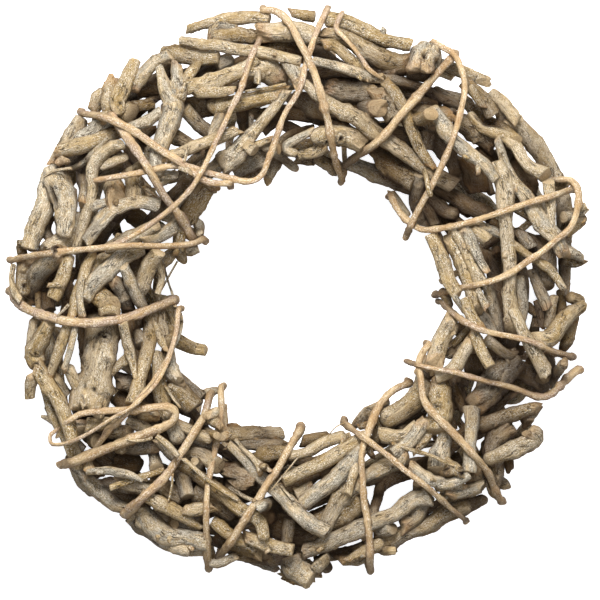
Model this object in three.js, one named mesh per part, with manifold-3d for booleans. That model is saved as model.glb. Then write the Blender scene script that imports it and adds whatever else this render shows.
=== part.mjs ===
// Rattan wreath: a ring of short weathered branches, glued together and lashed with thin vine.
// It lies flat: z = 0 is the surface it rests on, +Z is its front and +Y its top as it hangs.
import * as THREE from 'three';
import { mergeVertices } from 'three/addons/utils/BufferGeometryUtils.js';
import Module from 'manifold-3d';

const wasm = await Module();
wasm.setup();

// The ring of branches, in millimetres: a rim at mid height, a crown above it, a belly below
const RING_RADIUS = 145;
const RING_HALF_WIDTH = 62;
const RIM_HEIGHT = 46;
const CROWN = 42;
const BELLY = 39;
const LAYER = 11;
const FLOOR = 7;
const CROWN_PLAY = 4;
const BUNCHES = 36;

// Gap between pieces. Two branches lie clear of each other, are fused, rest on each other or
// grow out of each other: their middles are this share of both radii apart, less the sink
const CLEARANCE = 0.3;
const CLEAR = { share: 1.08, sink: -CLEARANCE };
const FUSED = { share: 0.88, sink: 0.8, sizeCost: 0.25 };
const RESTING = { share: 0.95, sink: 0, sizeCost: 0 };
const GROWN = { share: 0, sink: 0 };

// Branches thinner or deeper than this are left out, but for the logs, thicker than LOG.
// Facets that stand out less than FINENESS are left out too.
const THINNEST = 2.8;
const DEEPEST = 3;
const LOG = 6.4;
const FINENESS = 0.2;

// Sides of a section, whose corners stand a little wider than the round branch
const THICK = 5.1;
const THICK_SIDES = 5;
const THIN_SIDES = 4;
const VINE_SIDES = 5;
const SIDE_SPREAD = 1.08;

// Branches hidden at the back: how many an hour, where across the ring, and their spread
const BACK = {
  perHour: 2, inner: 100, breadth: 88, reach: 24, reachSpread: 26, askew: 1.1,
  radius: 3.2, radiusSpread: 3, depth: 1, depthSpread: 1.4, bow: 2.4,
};

// Vines: spacing of their bends, the flat they rest on, and their way down the rim
const FINE_STEP = 3;
const VINE_STEP = 22;
const SHORTEST_BEND = 6;
const FLAT = 0.3;
const PILE_TOP = 2;
const PILE_BOTTOM = 22;
const SHOULDER_OUT = 1;
const SHOULDER_DROP = 7;
const RIM_OUT = 2.5;
const SIDE_LOW = 20;
const SIDE_END = 10;
const TURN_OUT = 0;
const TURN_HEIGHT = 12;
const UNDER_IN = 7;
const UNDER_STOP = 4;
const TUCK_LENGTH = 5;
const TUCK_DROP = 4;
const TUCK_TAPER = 0.8;

// Stretches of vine, the lowest first. Each starts at its first end, crosses the front and,
// where it has "under" points, goes on round the rim and along the underside to them. An end
// goes down the side of the ring ("side") or is tucked in between the branches ("tuck").
const VINES = {
  "vine_12_b": {
    "radii": [2.8, 1.6], "ends": ["side", "tuck"],
    "front": [
      [20, 203], [15, 192], [11, 182], [8, 172], [5, 163], [1, 146], [-3, 140], [-9, 130], [-13, 119],
      [-17, 108], [-22, 95], [-24, 87], [-33, 82], [-48, 85], [-64, 89], [-83, 94], [-115, 88], [-139, 84],
    ],
  },
  "vine_10_c": {
    "radii": [3.2, 3.0], "ends": ["side", "under"],
    "front": [[-130, 128], [-118, 111], [-104, 91], [-91, 69], [-80, 55], [-75, 44]],
    "under": [[-112, 84], [-150, 129]],
  },
  "vine_10_b": {
    "radii": [2.3, 2.2], "ends": ["side", "under"],
    "front": [[-151, 131], [-134, 127], [-115, 118], [-95, 104], [-80, 95], [-68, 85], [-59, 81], [-48, 81]],
    "under": [[-46, 130], [-32, 190]],
  },
  "vine_10_a": {
    "radii": [2.2, 2.0], "ends": ["side", "tuck"],
    "front": [
      [-27, 182], [-32, 170], [-36, 158], [-40, 146], [-46, 133], [-51, 122], [-57, 110], [-67, 89],
      [-75, 76], [-84, 67], [-95, 58], [-110, 48], [-124, 40], [-140, 35],
    ],
  },
  "vine_09_b": {
    "radii": [2.6, 2.2], "ends": ["side", "under"],
    "front": [[-201, 28], [-185, 31], [-167, 33], [-150, 35], [-125, 37], [-100, 38], [-75, 39], [-67, 43]],
    "under": [[-112, 74], [-138, 117]],
  },
  "vine_12_a": {
    "radii": [2.3, 2.3], "ends": ["side", "under"],
    "front": [
      [-24, 203], [-15, 202], [-9, 197], [-5, 191], [2, 178], [7, 168], [12, 155], [16, 142], [20, 127],
      [23, 112], [26, 98], [29, 89], [31, 85],
    ],
    "under": [[30, 140], [22, 196]],
  },
  "vine_12_c": {
    "radii": [1.8, 1.6], "ends": ["tuck", "tuck"],
    "front": [[29, 197], [26, 190], [32, 184], [38, 177], [45, 168], [50, 160], [55, 157]],
  },
  "vine_01_a": {
    "radii": [2.7, 2.5], "ends": ["side", "tuck"],
    "front": [[110, 172], [98, 159], [90, 150], [80, 138], [70, 127], [62, 117], [55, 110], [45, 103], [36, 97]],
  },
  "vine_02_a": {
    "radii": [2.2, 2.5], "ends": ["side", "under"],
    "front": [
      [65, 74], [69, 65], [76, 56], [87, 49], [100, 50], [110, 52], [122, 55], [135, 59], [150, 64],
      [165, 69], [178, 73], [193, 78],
    ],
    "under": [[148, 42], [97, 12]],
  },
  "vine_01_b": {
    "radii": [2.0, 2.4], "ends": ["tuck", "tuck"],
    "front": [
      [98, 180], [105, 175], [111, 171], [114, 161], [117, 151], [116, 141], [113, 130], [111, 120],
      [107, 110], [103, 99], [97, 87], [91, 76], [86, 67], [81, 57], [77, 48],
    ],
  },
  "vine_02_b": {
    "radii": [2.3, 2.3], "ends": ["tuck", "side"],
    "front": [
      [183, 85], [193, 84], [197, 74], [194, 59], [190, 50], [180, 42], [170, 33], [160, 27], [150, 20],
      [140, 15], [130, 12], [120, 10], [110, 8], [99, 4],
    ],
  },
  "vine_03_a": {
    "radii": [2.5, 2.7], "ends": ["side", "under"],
    "front": [
      [101, -1], [107, -7], [112, -12], [120, -17], [130, -21], [140, -24], [160, -28], [170, -32],
      [180, -36], [192, -40],
    ],
    "under": [[144, -40], [93, -27]],
  },
  "vine_04_a": {
    "radii": [2.4, 2.4], "ends": ["side", "under"],
    "front": [
      [92, -31], [87, -36], [84, -42], [84, -48], [86, -57], [87, -67], [91, -75], [97, -82], [104, -89],
      [112, -97], [120, -106], [127, -113], [133, -121], [137, -130], [143, -141],
    ],
    "under": [[118, -92], [80, -47]],
  },
  "vine_03_b": {
    "radii": [1.8, 2.8], "ends": ["side", "side"],
    "front": [
      [78, -44], [95, -48], [105, -50], [117, -53], [130, -56], [142, -59], [152, -62], [162, -66],
      [171, -68], [178, -66], [184, -60], [190, -54], [197, -49],
    ],
  },
  "vine_05_a": {
    "radii": [2.7, 2.6], "ends": ["side", "under"],
    "front": [
      [79, -58], [69, -62], [58, -72], [53, -82], [50, -90], [46, -100], [44, -110], [45, -120],
      [46, -140], [48, -150], [49, -160], [50, -170], [50, -188],
    ],
    "under": [[46, -140], [33, -91]],
  },
  "vine_05_b": {
    "radii": [2.3, 2.3], "ends": ["side", "under"],
    "front": [
      [33, -86], [40, -92], [52, -101], [58, -105], [66, -111], [72, -117], [80, -123], [88, -129],
      [95, -135], [101, -140], [108, -147], [117, -154],
    ],
    "under": [[100, -104], [78, -64]],
  },
  "vine_06_a": {
    "radii": [2.8, 2.9], "ends": ["side", "under"],
    "front": [
      [2, -91], [-4, -100], [-9, -108], [-15, -119], [-22, -128], [-27, -138], [-33, -148], [-40, -158],
      [-47, -169], [-55, -180],
    ],
    "under": [[-50, -130], [-51, -70]],
  },
  "vine_07_a": {
    "radii": [2.6, 2.8], "ends": ["side", "under"],
    "front": [[-54, -62], [-54, -80], [-58, -107], [-63, -130], [-64, -150], [-64, -165], [-62, -187]],
    "under": [[-80, -124], [-66, -62]],
  },
  "vine_07_b": {
    "radii": [2.8, 2.8], "ends": ["side", "under"],
    "front": [[-62, -67], [-68, -84], [-75, -97], [-85, -113], [-95, -126], [-104, -134], [-120, -149]],
    "under": [[-120, -96], [-84, -24]],
  },
  "vine_08_c": {
    "radii": [2.4, 3.2], "ends": ["tuck", "tuck"],
    "front": [
      [-159, -83], [-155, -80], [-147, -78], [-128, -77], [-110, -76], [-92, -74], [-85, -77], [-86, -84],
      [-97, -90], [-107, -94], [-120, -99], [-134, -104], [-150, -110], [-163, -115],
    ],
  },
  "vine_08_b": {
    "radii": [1.6, 2.2], "ends": ["tuck", "tuck"],
    "front": [[-93, -44], [-99, -54], [-109, -67], [-121, -81], [-130, -88], [-134, -94], [-138, -100]],
  },
  "vine_08_a": {
    "radii": [1.9, 1.3], "ends": ["side", "tuck"],
    "front": [
      [-84, -6], [-85, -20], [-88, -33], [-92, -45], [-98, -57], [-107, -67], [-117, -76], [-127, -81],
      [-141, -90], [-152, -96], [-163, -100], [-171, -101], [-174, -96], [-168, -90],
    ],
  },
  "vine_09_a": {
    "radii": [2.8, 2.8], "ends": ["side", "under"],
    "front": [
      [-201, 6], [-196, -2], [-185, -8], [-175, -11], [-162, -14], [-149, -16], [-135, -15], [-122, -13],
      [-110, -9], [-97, -4], [-89, 0],
    ],
    "under": [[-140, 18], [-197, 25]],
  },
};

// Branches that the front shows, by clock hour. Each is [layer, [x, y, radius], ...]:
// layer 1 lies just under the vines, higher layers lie deeper.
const BRANCHES = {
  12: [
    [1, [-83, 182, 3], [-60, 178, 4], [-41, 174, 4], [-20, 171, 4], [2, 166, 3.5]],
    [1, [-8, 165, 5.5], [-3, 156, 6], [0, 147, 4]],
    [1.5, [-28, 187, 6], [0, 188, 7.5], [14, 184, 6.5]],
    [2, [-79, 192, 3.5], [-62, 195, 4], [-48, 198, 5.5], [-33, 198, 4.5], [-20, 196, 4]],
    [2, [-60, 181, 5], [-40, 184, 6], [-22, 185, 5], [-8, 192, 2.5]],
    [2, [-63, 182, 3], [-56, 191, 3.4], [-43, 190, 2.6]],
    [3, [-6, 202, 3], [12, 199, 4]],
    [1, [17, 179, 3.5], [25, 179, 4], [35, 171, 4], [46, 160, 3.5]],
    [2, [16, 189, 4], [30, 184, 5], [45, 175, 6], [60, 169, 7], [82, 166, 7]],
    [2, [18, 196, 6], [35, 194, 6], [56, 187, 5.5], [80, 179, 4.5]],
    [1, [10, 166, 3], [38, 159, 4.2], [56, 155, 4], [75, 152, 3.6], [92, 146, 4], [114, 137, 3.5]],
    [1, [4, 151, 3], [20, 138, 4.5], [40, 126, 5.5], [58, 113, 5.5], [95, 88, 5], [110, 79, 6.5]],
    [3, [18, 148, 7], [35, 146, 7], [56, 146, 7]],
    [4, [25, 135, 6], [56, 133, 6]],
    [1, [-7, 146, 3], [-17, 133, 3.8], [-27, 122, 4], [-36, 113, 5], [-46, 101, 7], [-54, 93, 7.5]],
    [1, [6, 121, 2.5], [-5, 115, 3], [-13, 109, 3.5], [-5, 103, 3]],
    [0.7, [-37, 109, 3.5], [-30, 104, 4]],
    [1.5, [-31, 107, 2.5], [-18, 113, 2]],
    [2, [8, 113, 5], [25, 115, 8], [47, 109, 9]],
    [2, [0, 99, 3.5], [12, 101, 4.5], [20, 106, 4]],
    [3, [-24, 108, 4], [-13, 102, 3.4], [-2, 93, 3]],
    [2, [-64, 137, 3], [-56, 136, 6.5], [-40, 139, 5.8], [-8, 144, 4.5]],
    [2, [-53, 130, 4], [-57, 120, 4], [-62, 110, 3]],
    [1.5, [-37, 145, 1], [-8, 150, 1.2]],
    [3, [-27, 166, 2], [-29, 150, 2.5]],
    [3, [-33, 131, 2], [-32, 121, 2]],
    [3, [34, 97, 5], [52, 90, 6], [70, 82, 5], [88, 74, 4]],
    [3, [12, 101, 4], [22, 95, 5], [25, 90, 4]],
    [4, [-30, 178, 6], [-12, 176, 8], [5, 173, 7]],
    [4, [-34, 160, 7], [-20, 157, 8.5], [-8, 151, 6]],
    [4, [-4, 142, 6], [8, 138, 8], [20, 130, 6]],
    [3, [-46, 90, 4.5], [-34, 97, 6.2], [-20, 103, 5]],
    [3, [-14, 98, 3.5], [-20, 91, 4.5], [-23, 84, 3]],
  ],
  1: [
    [1, [61, 154, 3.5], [66, 146, 4.5], [73, 134, 4.5], [80, 118, 4.5], [85, 107, 4.5], [93, 92, 4]],
    [2, [53, 147, 4.5], [60, 138, 5.5], [68, 126, 6]],
    [2, [78, 127, 5], [93, 128, 5]],
    [1, [94, 134, 3.5], [100, 125, 5], [108, 113, 5.5], [120, 103, 5.5], [131, 93, 5], [139, 84, 4]],
    [3, [90, 120, 7], [88, 106, 7]],
    [2, [52, 100, 9], [68, 92, 9], [84, 83, 8]],
    [1, [86, 88, 4], [84, 76, 6], [83, 66, 6], [85, 56, 5]],
    [0.5, [88, 90, 2], [92, 72, 2]],
    [4, [104, 112, 4], [111, 86, 4]],
    [1, [92, 178, 7], [88, 168, 9], [86, 158, 8]],
    [3, [98, 168, 4], [115, 162, 5], [133, 154, 4]],
    [2, [117, 154, 4.5], [127, 143, 5], [137, 130, 5]],
    [2, [120, 150, 3], [130, 134, 2.5]],
    [3, [43, 183, 4], [66, 178, 3]],
    [4, [56, 120, 6], [72, 116, 6.4], [86, 112, 6]],
    [3, [136, 147, 4], [146, 136, 4.6], [153, 124, 4]],
  ],
  2: [
    [1, [120, 128, 3.5], [130, 121, 4], [142, 116, 4.5], [152, 109, 5], [158, 99, 4.5], [174, 87, 5.5]],
    [1, [142, 124, 4.5], [154, 113, 4]],
    [1, [139, 114, 2.5], [150, 87, 3.5], [156, 76, 4.5], [164, 65, 5.5], [173, 52, 6], [188, 31, 4.5]],
    [1, [138, 97, 5], [142, 84, 6.5], [144, 70, 6], [146, 52, 4.5], [147, 10, 4.2], [150, -24, 7]],
    [3, [150, 128, 5], [160, 118, 6], [170, 107, 6.5], [178, 95, 6], [184, 84, 5]],
    [3, [152, 100, 6], [160, 85, 7], [168, 74, 6]],
    [1, [177, 84, 4.5], [177, 72, 4.5], [181, 50, 2]],
    [3, [92, 80, 5], [106, 75, 6], [120, 68, 6.5], [137, 61, 5]],
    [4, [118, 100, 8], [128, 76, 8]],
    [2, [93, 73, 4], [103, 63, 5], [112, 57, 4]],
    [2, [91, 70, 3.5], [98, 52, 3.5]],
    [1, [109, 50, 3.5], [115, 39, 4.5], [121, 27, 3], [128, 17, 2.5]],
    [1, [100, 47, 3.5], [107, 33, 3.7], [113, 20, 4], [118, 8, 4.5]],
    [3, [92, 46, 4], [99, 30, 4.5], [105, 15, 5], [112, 3, 4]],
    [4, [104, 46, 5], [114, 28, 6.2], [121, 8, 6], [124, -8, 5]],
    [1.5, [118, 52, 4.5], [130, 40, 5]],
    [2, [125, 52, 3.5], [140, 46, 3.5]],
    [1.5, [150, 39, 3], [161, 32, 3], [170, 27, 3.5], [179, 21, 3.5], [187, 7, 2.5]],
    [3, [155, 50, 4], [163, 36, 5]],
    [3, [185, 76, 5], [187, 62, 6.2], [187, 30, 5], [188, 0, 3.5]],
    [4, [112, 128, 6], [124, 118, 7], [138, 106, 6]],
    [4, [166, 46, 7], [174, 28, 8], [176, 10, 6]],
    [3, [186, 48, 4], [200, 57, 3.5]],
    [3, [188, 60, 3], [203, 65, 2.6]],
    [2, [183, 38, 4], [192, 32, 4], [200, 29, 3]],
  ],
  3: [
    [1, [119, 5, 4], [124, -8, 4.5], [131, -17, 4.5]],
    [1, [125, 8, 2], [129, 0, 2.3], [132, -6, 2.5]],
    [2, [108, 3, 2], [118, -9, 2.3]],
    [3, [131, 14, 4], [141, -22, 4.4]],
    [2, [155, 17, 3.5], [157, -4, 4.5], [155, -18, 3.5]],
    [1, [150, -6, 4.5], [159, -27, 4.5], [165, -38, 5], [174, -54, 5.5]],
    [2, [163, 22, 3.7], [168, 8, 3.8], [174, -6, 3.8]],
    [2, [179, 3, 3.5], [178, -9, 4], [176, -20, 4]],
    [4, [160, -3, 3], [168, -9, 3]],
    [4, [168, -10, 3.5], [166, -22, 3.5]],
    [1, [199, -3, 5], [187, -13, 6], [177, -24, 7], [163, -27, 6]],
    [2, [189, 4, 4], [199, 0, 4]],
    [3, [193, -12, 4], [189, -28, 5], [186, -34, 4]],
    [2, [106, -8, 6], [101, -22, 6.5], [96, -36, 7], [93, -46, 7]],
    [3, [115, -16, 5], [113, -26, 4]],
    [1, [123, -24, 4.5], [113, -38, 5], [104, -48, 5], [96, -53, 5]],
    [1, [120, -18, 4], [126, -30, 4], [133, -45, 4]],
    [1.5, [131, -22, 4], [143, -32, 4], [151, -33, 4]],
    [1, [156, -43, 8], [145, -50, 10], [134, -60, 10], [126, -71, 7.5], [122, -77, 6.5]],
    [3, [176, -40, 5], [171, -55, 5]],
    [4, [121, -38, 8], [122, -52, 8]],
    [4, [108, -50, 6], [111, -64, 6.4], [114, -78, 6]],
    [4, [148, -46, 6], [164, -54, 7], [177, -61, 5]],
  ],
  4: [
    [1, [122, -76, 5.5], [121, -90, 4.5], [120, -102, 4.2], [118, -120, 4.3]],
    [1.5, [97, -52, 6], [98, -64, 8], [100, -77, 8], [97, -91, 6]],
    [2, [92, -56, 5], [82, -69, 7], [70, -78, 7], [58, -85, 6.5]],
    [1, [170, -74, 4], [158, -78, 5], [145, -83, 5.5], [130, -89, 5.5]],
    [1.5, [152, -64, 2.5], [131, -84, 2.5]],
    [1.5, [160, -91, 5], [166, -96, 6], [155, -102, 6], [143, -107, 5], [130, -113, 5]],
    [4, [152, -90, 7], [138, -104, 8], [130, -112, 7]],
    [3, [170, -74, 3], [158, -86, 5]],
    [3, [146, -108, 5], [142, -120, 7.5], [143, -132, 6]],
    [2, [100, -93, 5], [97, -108, 6], [93, -121, 7]],
    [1, [86, -81, 4], [82, -90, 4.5], [75, -99, 4.5], [65, -107, 4]],
    [2, [92, -88, 3.5], [86, -96, 4], [78, -103, 4]],
    [1, [97, -120, 5], [105, -117, 5.5], [113, -119, 4]],
    [1, [78, -118, 3.5], [90, -127, 4], [105, -131, 4], [120, -125, 3.5]],
    [4, [108, -60, 3], [117, -78, 3]],
  ],
  5: [
    [1, [0, -180, 5], [20, -171, 5], [35, -164, 5.5], [62, -150, 5], [75, -143, 5.5], [90, -138, 6]],
    [1, [88, -139, 6], [79, -151, 7], [70, -161, 6]],
    [1.5, [47, -124, 4.5], [60, -118, 5], [72, -113, 5], [78, -107, 3.5]],
    [4, [63, -122, 3.5], [56, -138, 3.5], [52, -152, 3.5]],
    [2, [82, -128, 4], [83, -138, 5]],
    [3, [118, -143, 5], [104, -150, 6.5], [90, -156, 6], [76, -162, 5.5], [60, -170, 6], [44, -176, 5]],
    [3, [110, -150, 4], [122, -143, 4.5], [132, -137, 4]],
    [3, [56, -172, 4.5], [67, -172, 5.8]],
    [4, [57, -150, 1.2], [78, -141, 1.5]],
    [1, [95, -133, 4], [108, -132, 4.5], [118, -134, 2]],
    [2.5, [105, -140, 4], [130, -134, 4.5]],
    [2, [32, -184, 3], [46, -177, 4.5], [58, -172, 4]],
    [3, [52, -163, 6], [66, -158, 5]],
    [1.5, [56, -94, 6], [70, -94, 5.5], [82, -88, 4]],
    [1, [-14, -126, 4], [5, -117, 4.5], [25, -107, 5], [44, -96, 4.5]],
    [1, [-2, -145, 5], [12, -134, 5.5], [25, -123, 6], [38, -110, 5.5], [43, -104, 4]],
    [1, [12, -168, 4.5], [22, -150, 5.5], [30, -138, 6], [38, -130, 5.5], [42, -122, 4]],
    [1, [31, -136, 3], [38, -116, 3]],
    [2, [-10, -108, 3.5], [5, -106, 3.8], [18, -99, 4.5], [33, -94, 4.5]],
    [3, [2, -99, 4], [12, -97, 4.4], [23, -94, 3.5]],
    [3, [38, -88, 3.5], [50, -80, 5], [64, -72, 4.5]],
    [3, [22, -180, 5], [34, -178, 4.5], [48, -172, 5]],
  ],
  6: [
    [1, [-52, -103, 3.5], [-29, -124, 5], [-18, -135, 4.5], [-8, -143, 5], [0, -151, 5], [17, -163, 5]],
    [0.5, [-46, -95, 1.5], [-38, -105, 2], [-30, -112, 2.5], [-26, -122, 2]],
    [0.5, [-30, -112, 2], [-18, -119, 1.5]],
    [2, [-50, -99, 4], [-30, -100, 4.5], [-12, -101, 4]],
    [3, [-56, -92, 5], [-35, -94, 5.5], [-12, -93, 4.5]],
    [2, [-30, -106, 5], [-20, -107, 5.5], [-6, -106, 4]],
    [4, [-52, -125, 11], [-30, -126, 10]],
    [1, [-84, -112, 3.5], [-72, -123, 4.8], [-58, -134, 5.2], [-45, -142, 5.5], [-27, -153, 4.5], [-24, -168, 4]],
    [0.5, [-80, -110, 1.8], [-70, -119, 2], [-56, -131, 1.6], [-42, -139, 1.6]],
    [0.5, [-48, -131, 1.6], [-38, -137, 1.5], [-30, -140, 1.3]],
    [1, [-38, -165, 4], [-20, -171, 4.5], [-3, -174, 4.3]],
    [2, [-40, -173, 3], [-27, -177, 3.5]],
    [3, [-45, -178, 4], [-30, -181, 4], [-15, -184, 4]],
    [2, [-8, -181, 6.5], [-4, -190, 9.5], [8, -197, 8]],
    [2, [10, -184, 8], [17, -188, 7.5]],
    [3, [-5, -153, 4], [-8, -170, 4]],
    [3, [-22, -153, 5], [-10, -148, 5]],
    [0.5, [-13, -128, 1], [-3, -140, 1.2]],
    [2, [-5, -137, 4], [8, -131, 4]],
    [4, [4, -162, 9], [24, -152, 11], [44, -142, 10]],
    [4, [-30, -160, 8], [-10, -163, 9], [12, -172, 7]],
    [4, [-40, -112, 5], [-24, -112, 6.2], [-8, -113, 5]],
    [4, [-86, -108, 6], [-70, -109, 6.4], [-56, -116, 6]],
    [4, [-72, -132, 7], [-58, -140, 8], [-44, -150, 7]],
    [4, [-16, -133, 6], [2, -127, 6.4], [22, -118, 6]],
    [3, [-58, -166, 5], [-42, -173, 5], [-26, -179, 4]],
    [3, [-28, -177, 5], [-16, -180, 5.5], [-6, -180, 5]],
    [2, [-62, -155, 4], [-50, -163, 4.5], [-38, -168, 4]],
  ],
  7: [
    [1, [-101, -97, 2.4], [-93, -105, 2.8], [-84, -113, 3]],
    [1, [-98, -94, 2], [-90, -101, 2.3], [-83, -109, 2]],
    [2, [-83, -85, 3.6], [-72, -92, 4.2], [-58, -98, 4.2]],
    [3, [-82, -93, 3], [-70, -99, 3.2], [-58, -104, 3.5]],
    [3, [-72, -112, 3.2], [-67, -121, 4]],
    [2, [-84, -117, 4.6], [-80, -127, 5.5], [-77, -138, 5]],
    [0.5, [-87, -121, 0.9], [-88, -130, 0.9], [-90, -141, 0.8]],
    [3, [-102, -125, 5], [-90, -135, 6], [-80, -140, 5]],
    [1.5, [-108, -136, 4], [-95, -143, 5], [-84, -149, 5], [-74, -156, 3.5], [-66, -161, 2]],
    [1.5, [-79, -150, 3.5], [-71, -149, 5.5], [-58, -144, 5]],
    [2, [-108, -146, 5.5], [-102, -156, 7.5], [-94, -163, 8], [-85, -167, 7], [-60, -168, 6]],
    [2.5, [-99, -162, 6], [-95, -168, 5]],
    [2, [-83, -174, 4.5], [-74, -174, 5.5], [-60, -173, 6]],
    [2, [-110, -149, 4], [-119, -157, 1.6]],
    [1, [-143, -121, 2.2], [-127, -120, 3], [-113, -122, 3], [-103, -127, 1.5]],
    [1, [-131, -132, 2], [-120, -127, 2.4], [-106, -122, 2.6], [-93, -119, 2.4]],
    [2, [-126, -128, 4], [-112, -131, 4.6], [-98, -135, 4]],
    [3, [-130, -136, 5], [-118, -141, 5], [-104, -145, 5]],
    [2, [-150, -124, 5], [-140, -134, 6], [-128, -143, 5.5], [-117, -149, 4]],
    [2, [-121, -98, 4], [-120, -107, 4.6], [-123, -112, 3]],
    [3, [-130, -101, 5], [-113, -103, 5.5], [-96, -102, 4.5]],
    [4, [-104, -104, 4], [-97, -118, 5]],
    [4, [-128, -112, 7], [-110, -119, 7]],
    [4, [-100, -148, 6], [-84, -156, 8], [-66, -160, 7]],
    [3, [-142, -132, 5.5], [-130, -130, 5.5], [-118, -130, 5]],
    [3, [-120, -154, 4], [-106, -162, 4.5], [-94, -171, 4.5], [-76, -176, 4.5]],
  ],
  8: [
    [1.5, [-138, -8, 11], [-138, -25, 12], [-139, -42, 10], [-141, -55, 10.5], [-144, -66, 13], [-146, -78, 12]],
    [1, [-162, -44, 3.8], [-159, -55, 4], [-156, -64, 3.6]],
    [1, [-122, -16, 3.5], [-119, -30, 4], [-118, -38, 4], [-124, -43, 3.5], [-130, -52, 2.4]],
    [1, [-118, -36, 4], [-115, -45, 3], [-113, -55, 1.6]],
    [1.5, [-113, -20, 3.5], [-110, -33, 5]],
    [1, [-103, -6, 4.6], [-104, -25, 5], [-107, -45, 5], [-111, -60, 4.5], [-115, -73, 4]],
    [1, [-101, -16, 2], [-96, -28, 3.4], [-92, -36, 1.8]],
    [2, [-98, -35, 4], [-97, -48, 5], [-98, -60, 5], [-96, -72, 6], [-90, -83, 6]],
    [2, [-92, -35, 5], [-89, -48, 6.5], [-85, -60, 6.5]],
    [3, [-93, -60, 7], [-83, -68, 9], [-72, -76, 8]],
    [0.7, [-93, -60, 0.9], [-88, -67, 0.9], [-82, -75, 0.8]],
    [2.5, [-102, -18, 5], [-88, -28, 5], [-75, -33, 4.5], [-65, -34, 4]],
    [2, [-97, -3, 5], [-98, -14, 5.5], [-97, -26, 5]],
    [1, [-160, -15, 3.2], [-165, -33, 3.5], [-173, -54, 3]],
    [1, [-155, -18, 2.3], [-158, -34, 2.3], [-163, -50, 2.2]],
    [1.5, [-172, -16, 4.5], [-180, -29, 5.5], [-185, -37, 6.5], [-183, -46, 6]],
    [1, [-184, -44, 5.5], [-176, -57, 6], [-167, -70, 6], [-160, -88, 5.5], [-156, -100, 4.5]],
    [2, [-178, -58, 4], [-174, -72, 4.5], [-170, -82, 4.5], [-163, -93, 4.5], [-157, -106, 5], [-152, -118, 5.5]],
    [2, [-165, -87, 3.8], [-172, -84, 3], [-180, -82, 1]],
    [2, [-184, -50, 4], [-186, -60, 4], [-186, -69, 3.6]],
    [1.5, [-158, -85, 5.5], [-150, -90, 6]],
    [1.5, [-147, -86, 4.6], [-137, -87, 5], [-124, -87, 4]],
    [2.5, [-140, -93, 5], [-128, -92, 6], [-117, -90, 5]],
    [1.5, [-119, -83, 3.8], [-111, -86, 4.5], [-102, -91, 3.6]],
    [2, [-148, -95, 5], [-141, -100, 5]],
    [2, [-92, -84, 5], [-87, -93, 5.5], [-82, -103, 5]],
    [2, [-144, -111, 4], [-138, -121, 4]],
    [2, [-157, -115, 4], [-146, -124, 4]],
    [3, [-169, -20, 4], [-168, -32, 3.6]],
    [2, [-185, -11, 3.6], [-186, -24, 4], [-191, -41, 2.2]],
    [3, [-128, -56, 6], [-112, -60, 6]],
    [4, [-128, -66, 6], [-118, -74, 6.4]],
    [3, [-112, -78, 7], [-98, -82, 7]],
    [3, [-160, -108, 4], [-156, -121, 4.5], [-148, -132, 4.5], [-138, -137, 4.5]],
    [3, [-155, -108, 5], [-140, -125, 5]],
    [0.5, [-119, -97, 1.2], [-110, -98.5, 1.2], [-101, -96, 1.2]],
  ],
  9: [
    [1, [-108, 35, 5], [-122, 28, 6], [-133, 20, 6], [-143, 10, 6], [-149, 0, 5]],
    [1, [-141, 33, 3], [-148, 24, 3.8], [-153, 8, 4], [-158, -14, 3.5]],
    [1, [-151, 15, 2.4], [-151, 0, 2.4], [-150, -13, 3]],
    [1, [-157, 30, 3.6], [-161, 15, 4.5], [-166, 5, 5.2], [-169, -1, 4.5]],
    [1, [-163, 11, 2], [-174, 10, 1.6]],
    [1, [-159, -3, 1.2], [-167, -11, 1]],
    [1, [-163, 31, 5], [-173, 26, 7], [-182, 20, 7], [-186, 10, 5.5], [-186, 1, 4]],
    [1.5, [-189, 31, 6], [-194, 20, 6], [-196, 12, 5], [-193, 2, 4]],
    [1.5, [-183, 12, 3], [-182, -8, 2]],
    [2, [-186, 39, 3], [-197, 40, 1.6]],
    [1, [-153, 60, 5], [-160, 46, 6.5], [-167, 38, 7], [-175, 33, 5]],
    [2, [-127, 32, 5], [-138, 26, 5], [-147, 17, 4]],
    [2, [-97, 34, 5], [-104, 22, 6], [-110, 10, 6], [-111, 0, 4]],
    [1, [-123, 24, 3.8], [-117, 10, 4.4], [-112, 0, 4.4], [-107, -8, 4]],
    [2, [-130, 16, 3.6], [-126, 8, 5], [-122, 0, 6], [-117, -9, 4.6]],
    [1.5, [-138, -9, 3], [-132, -7, 4.2], [-125, -8, 3]],
    [2, [-142, 6, 6], [-132, -4, 6.5]],
    [3, [-150, 1, 5], [-145, -9, 5]],
    [3, [-177, 4, 5], [-174, -8, 5]],
    [2, [-98, 28, 3], [-95, 16, 2.4], [-98, 4, 2]],
    [3, [-104, 46, 4], [-100, 30, 4]],
    [1.5, [-84, 53, 5], [-95, 46, 5], [-109, 41, 4.5]],
    [4, [-160, 20, 6], [-170, 4, 6.4]],
    [2.5, [-78, 50, 4], [-81, 38, 4.4], [-79, 28, 4]],
    [3, [-86, 36, 3.5], [-76, 35, 3.5], [-70, 37, 3]],
    [4, [-112, 38, 6], [-109, 22, 7], [-114, 6, 6]],
    [3, [-97, -8, 6], [-93, -22, 6.4], [-90, -32, 5]],
    [3, [-85, 27, 0.8], [-91, 16, 0.8], [-96, 7, 0.8]],
    [3, [-94, 24, 0.8], [-91, 12, 0.9], [-87, 0, 0.9], [-86, -10, 0.8]],
    [2, [-86, -4, 1.2], [-82, -13, 1.3], [-84, -26, 1.4], [-90, -38, 1.6]],
  ],
  10: [
    [1, [-171, 103, 4], [-158, 106, 5], [-145, 110, 5.2], [-135, 115, 5.5], [-125, 118, 4.5]],
    [1, [-121, 108, 3.8], [-130, 104, 4.4], [-143, 92, 4.4], [-144, 72, 3.5], [-149, 54, 4], [-156, 34, 3.6]],
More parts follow.
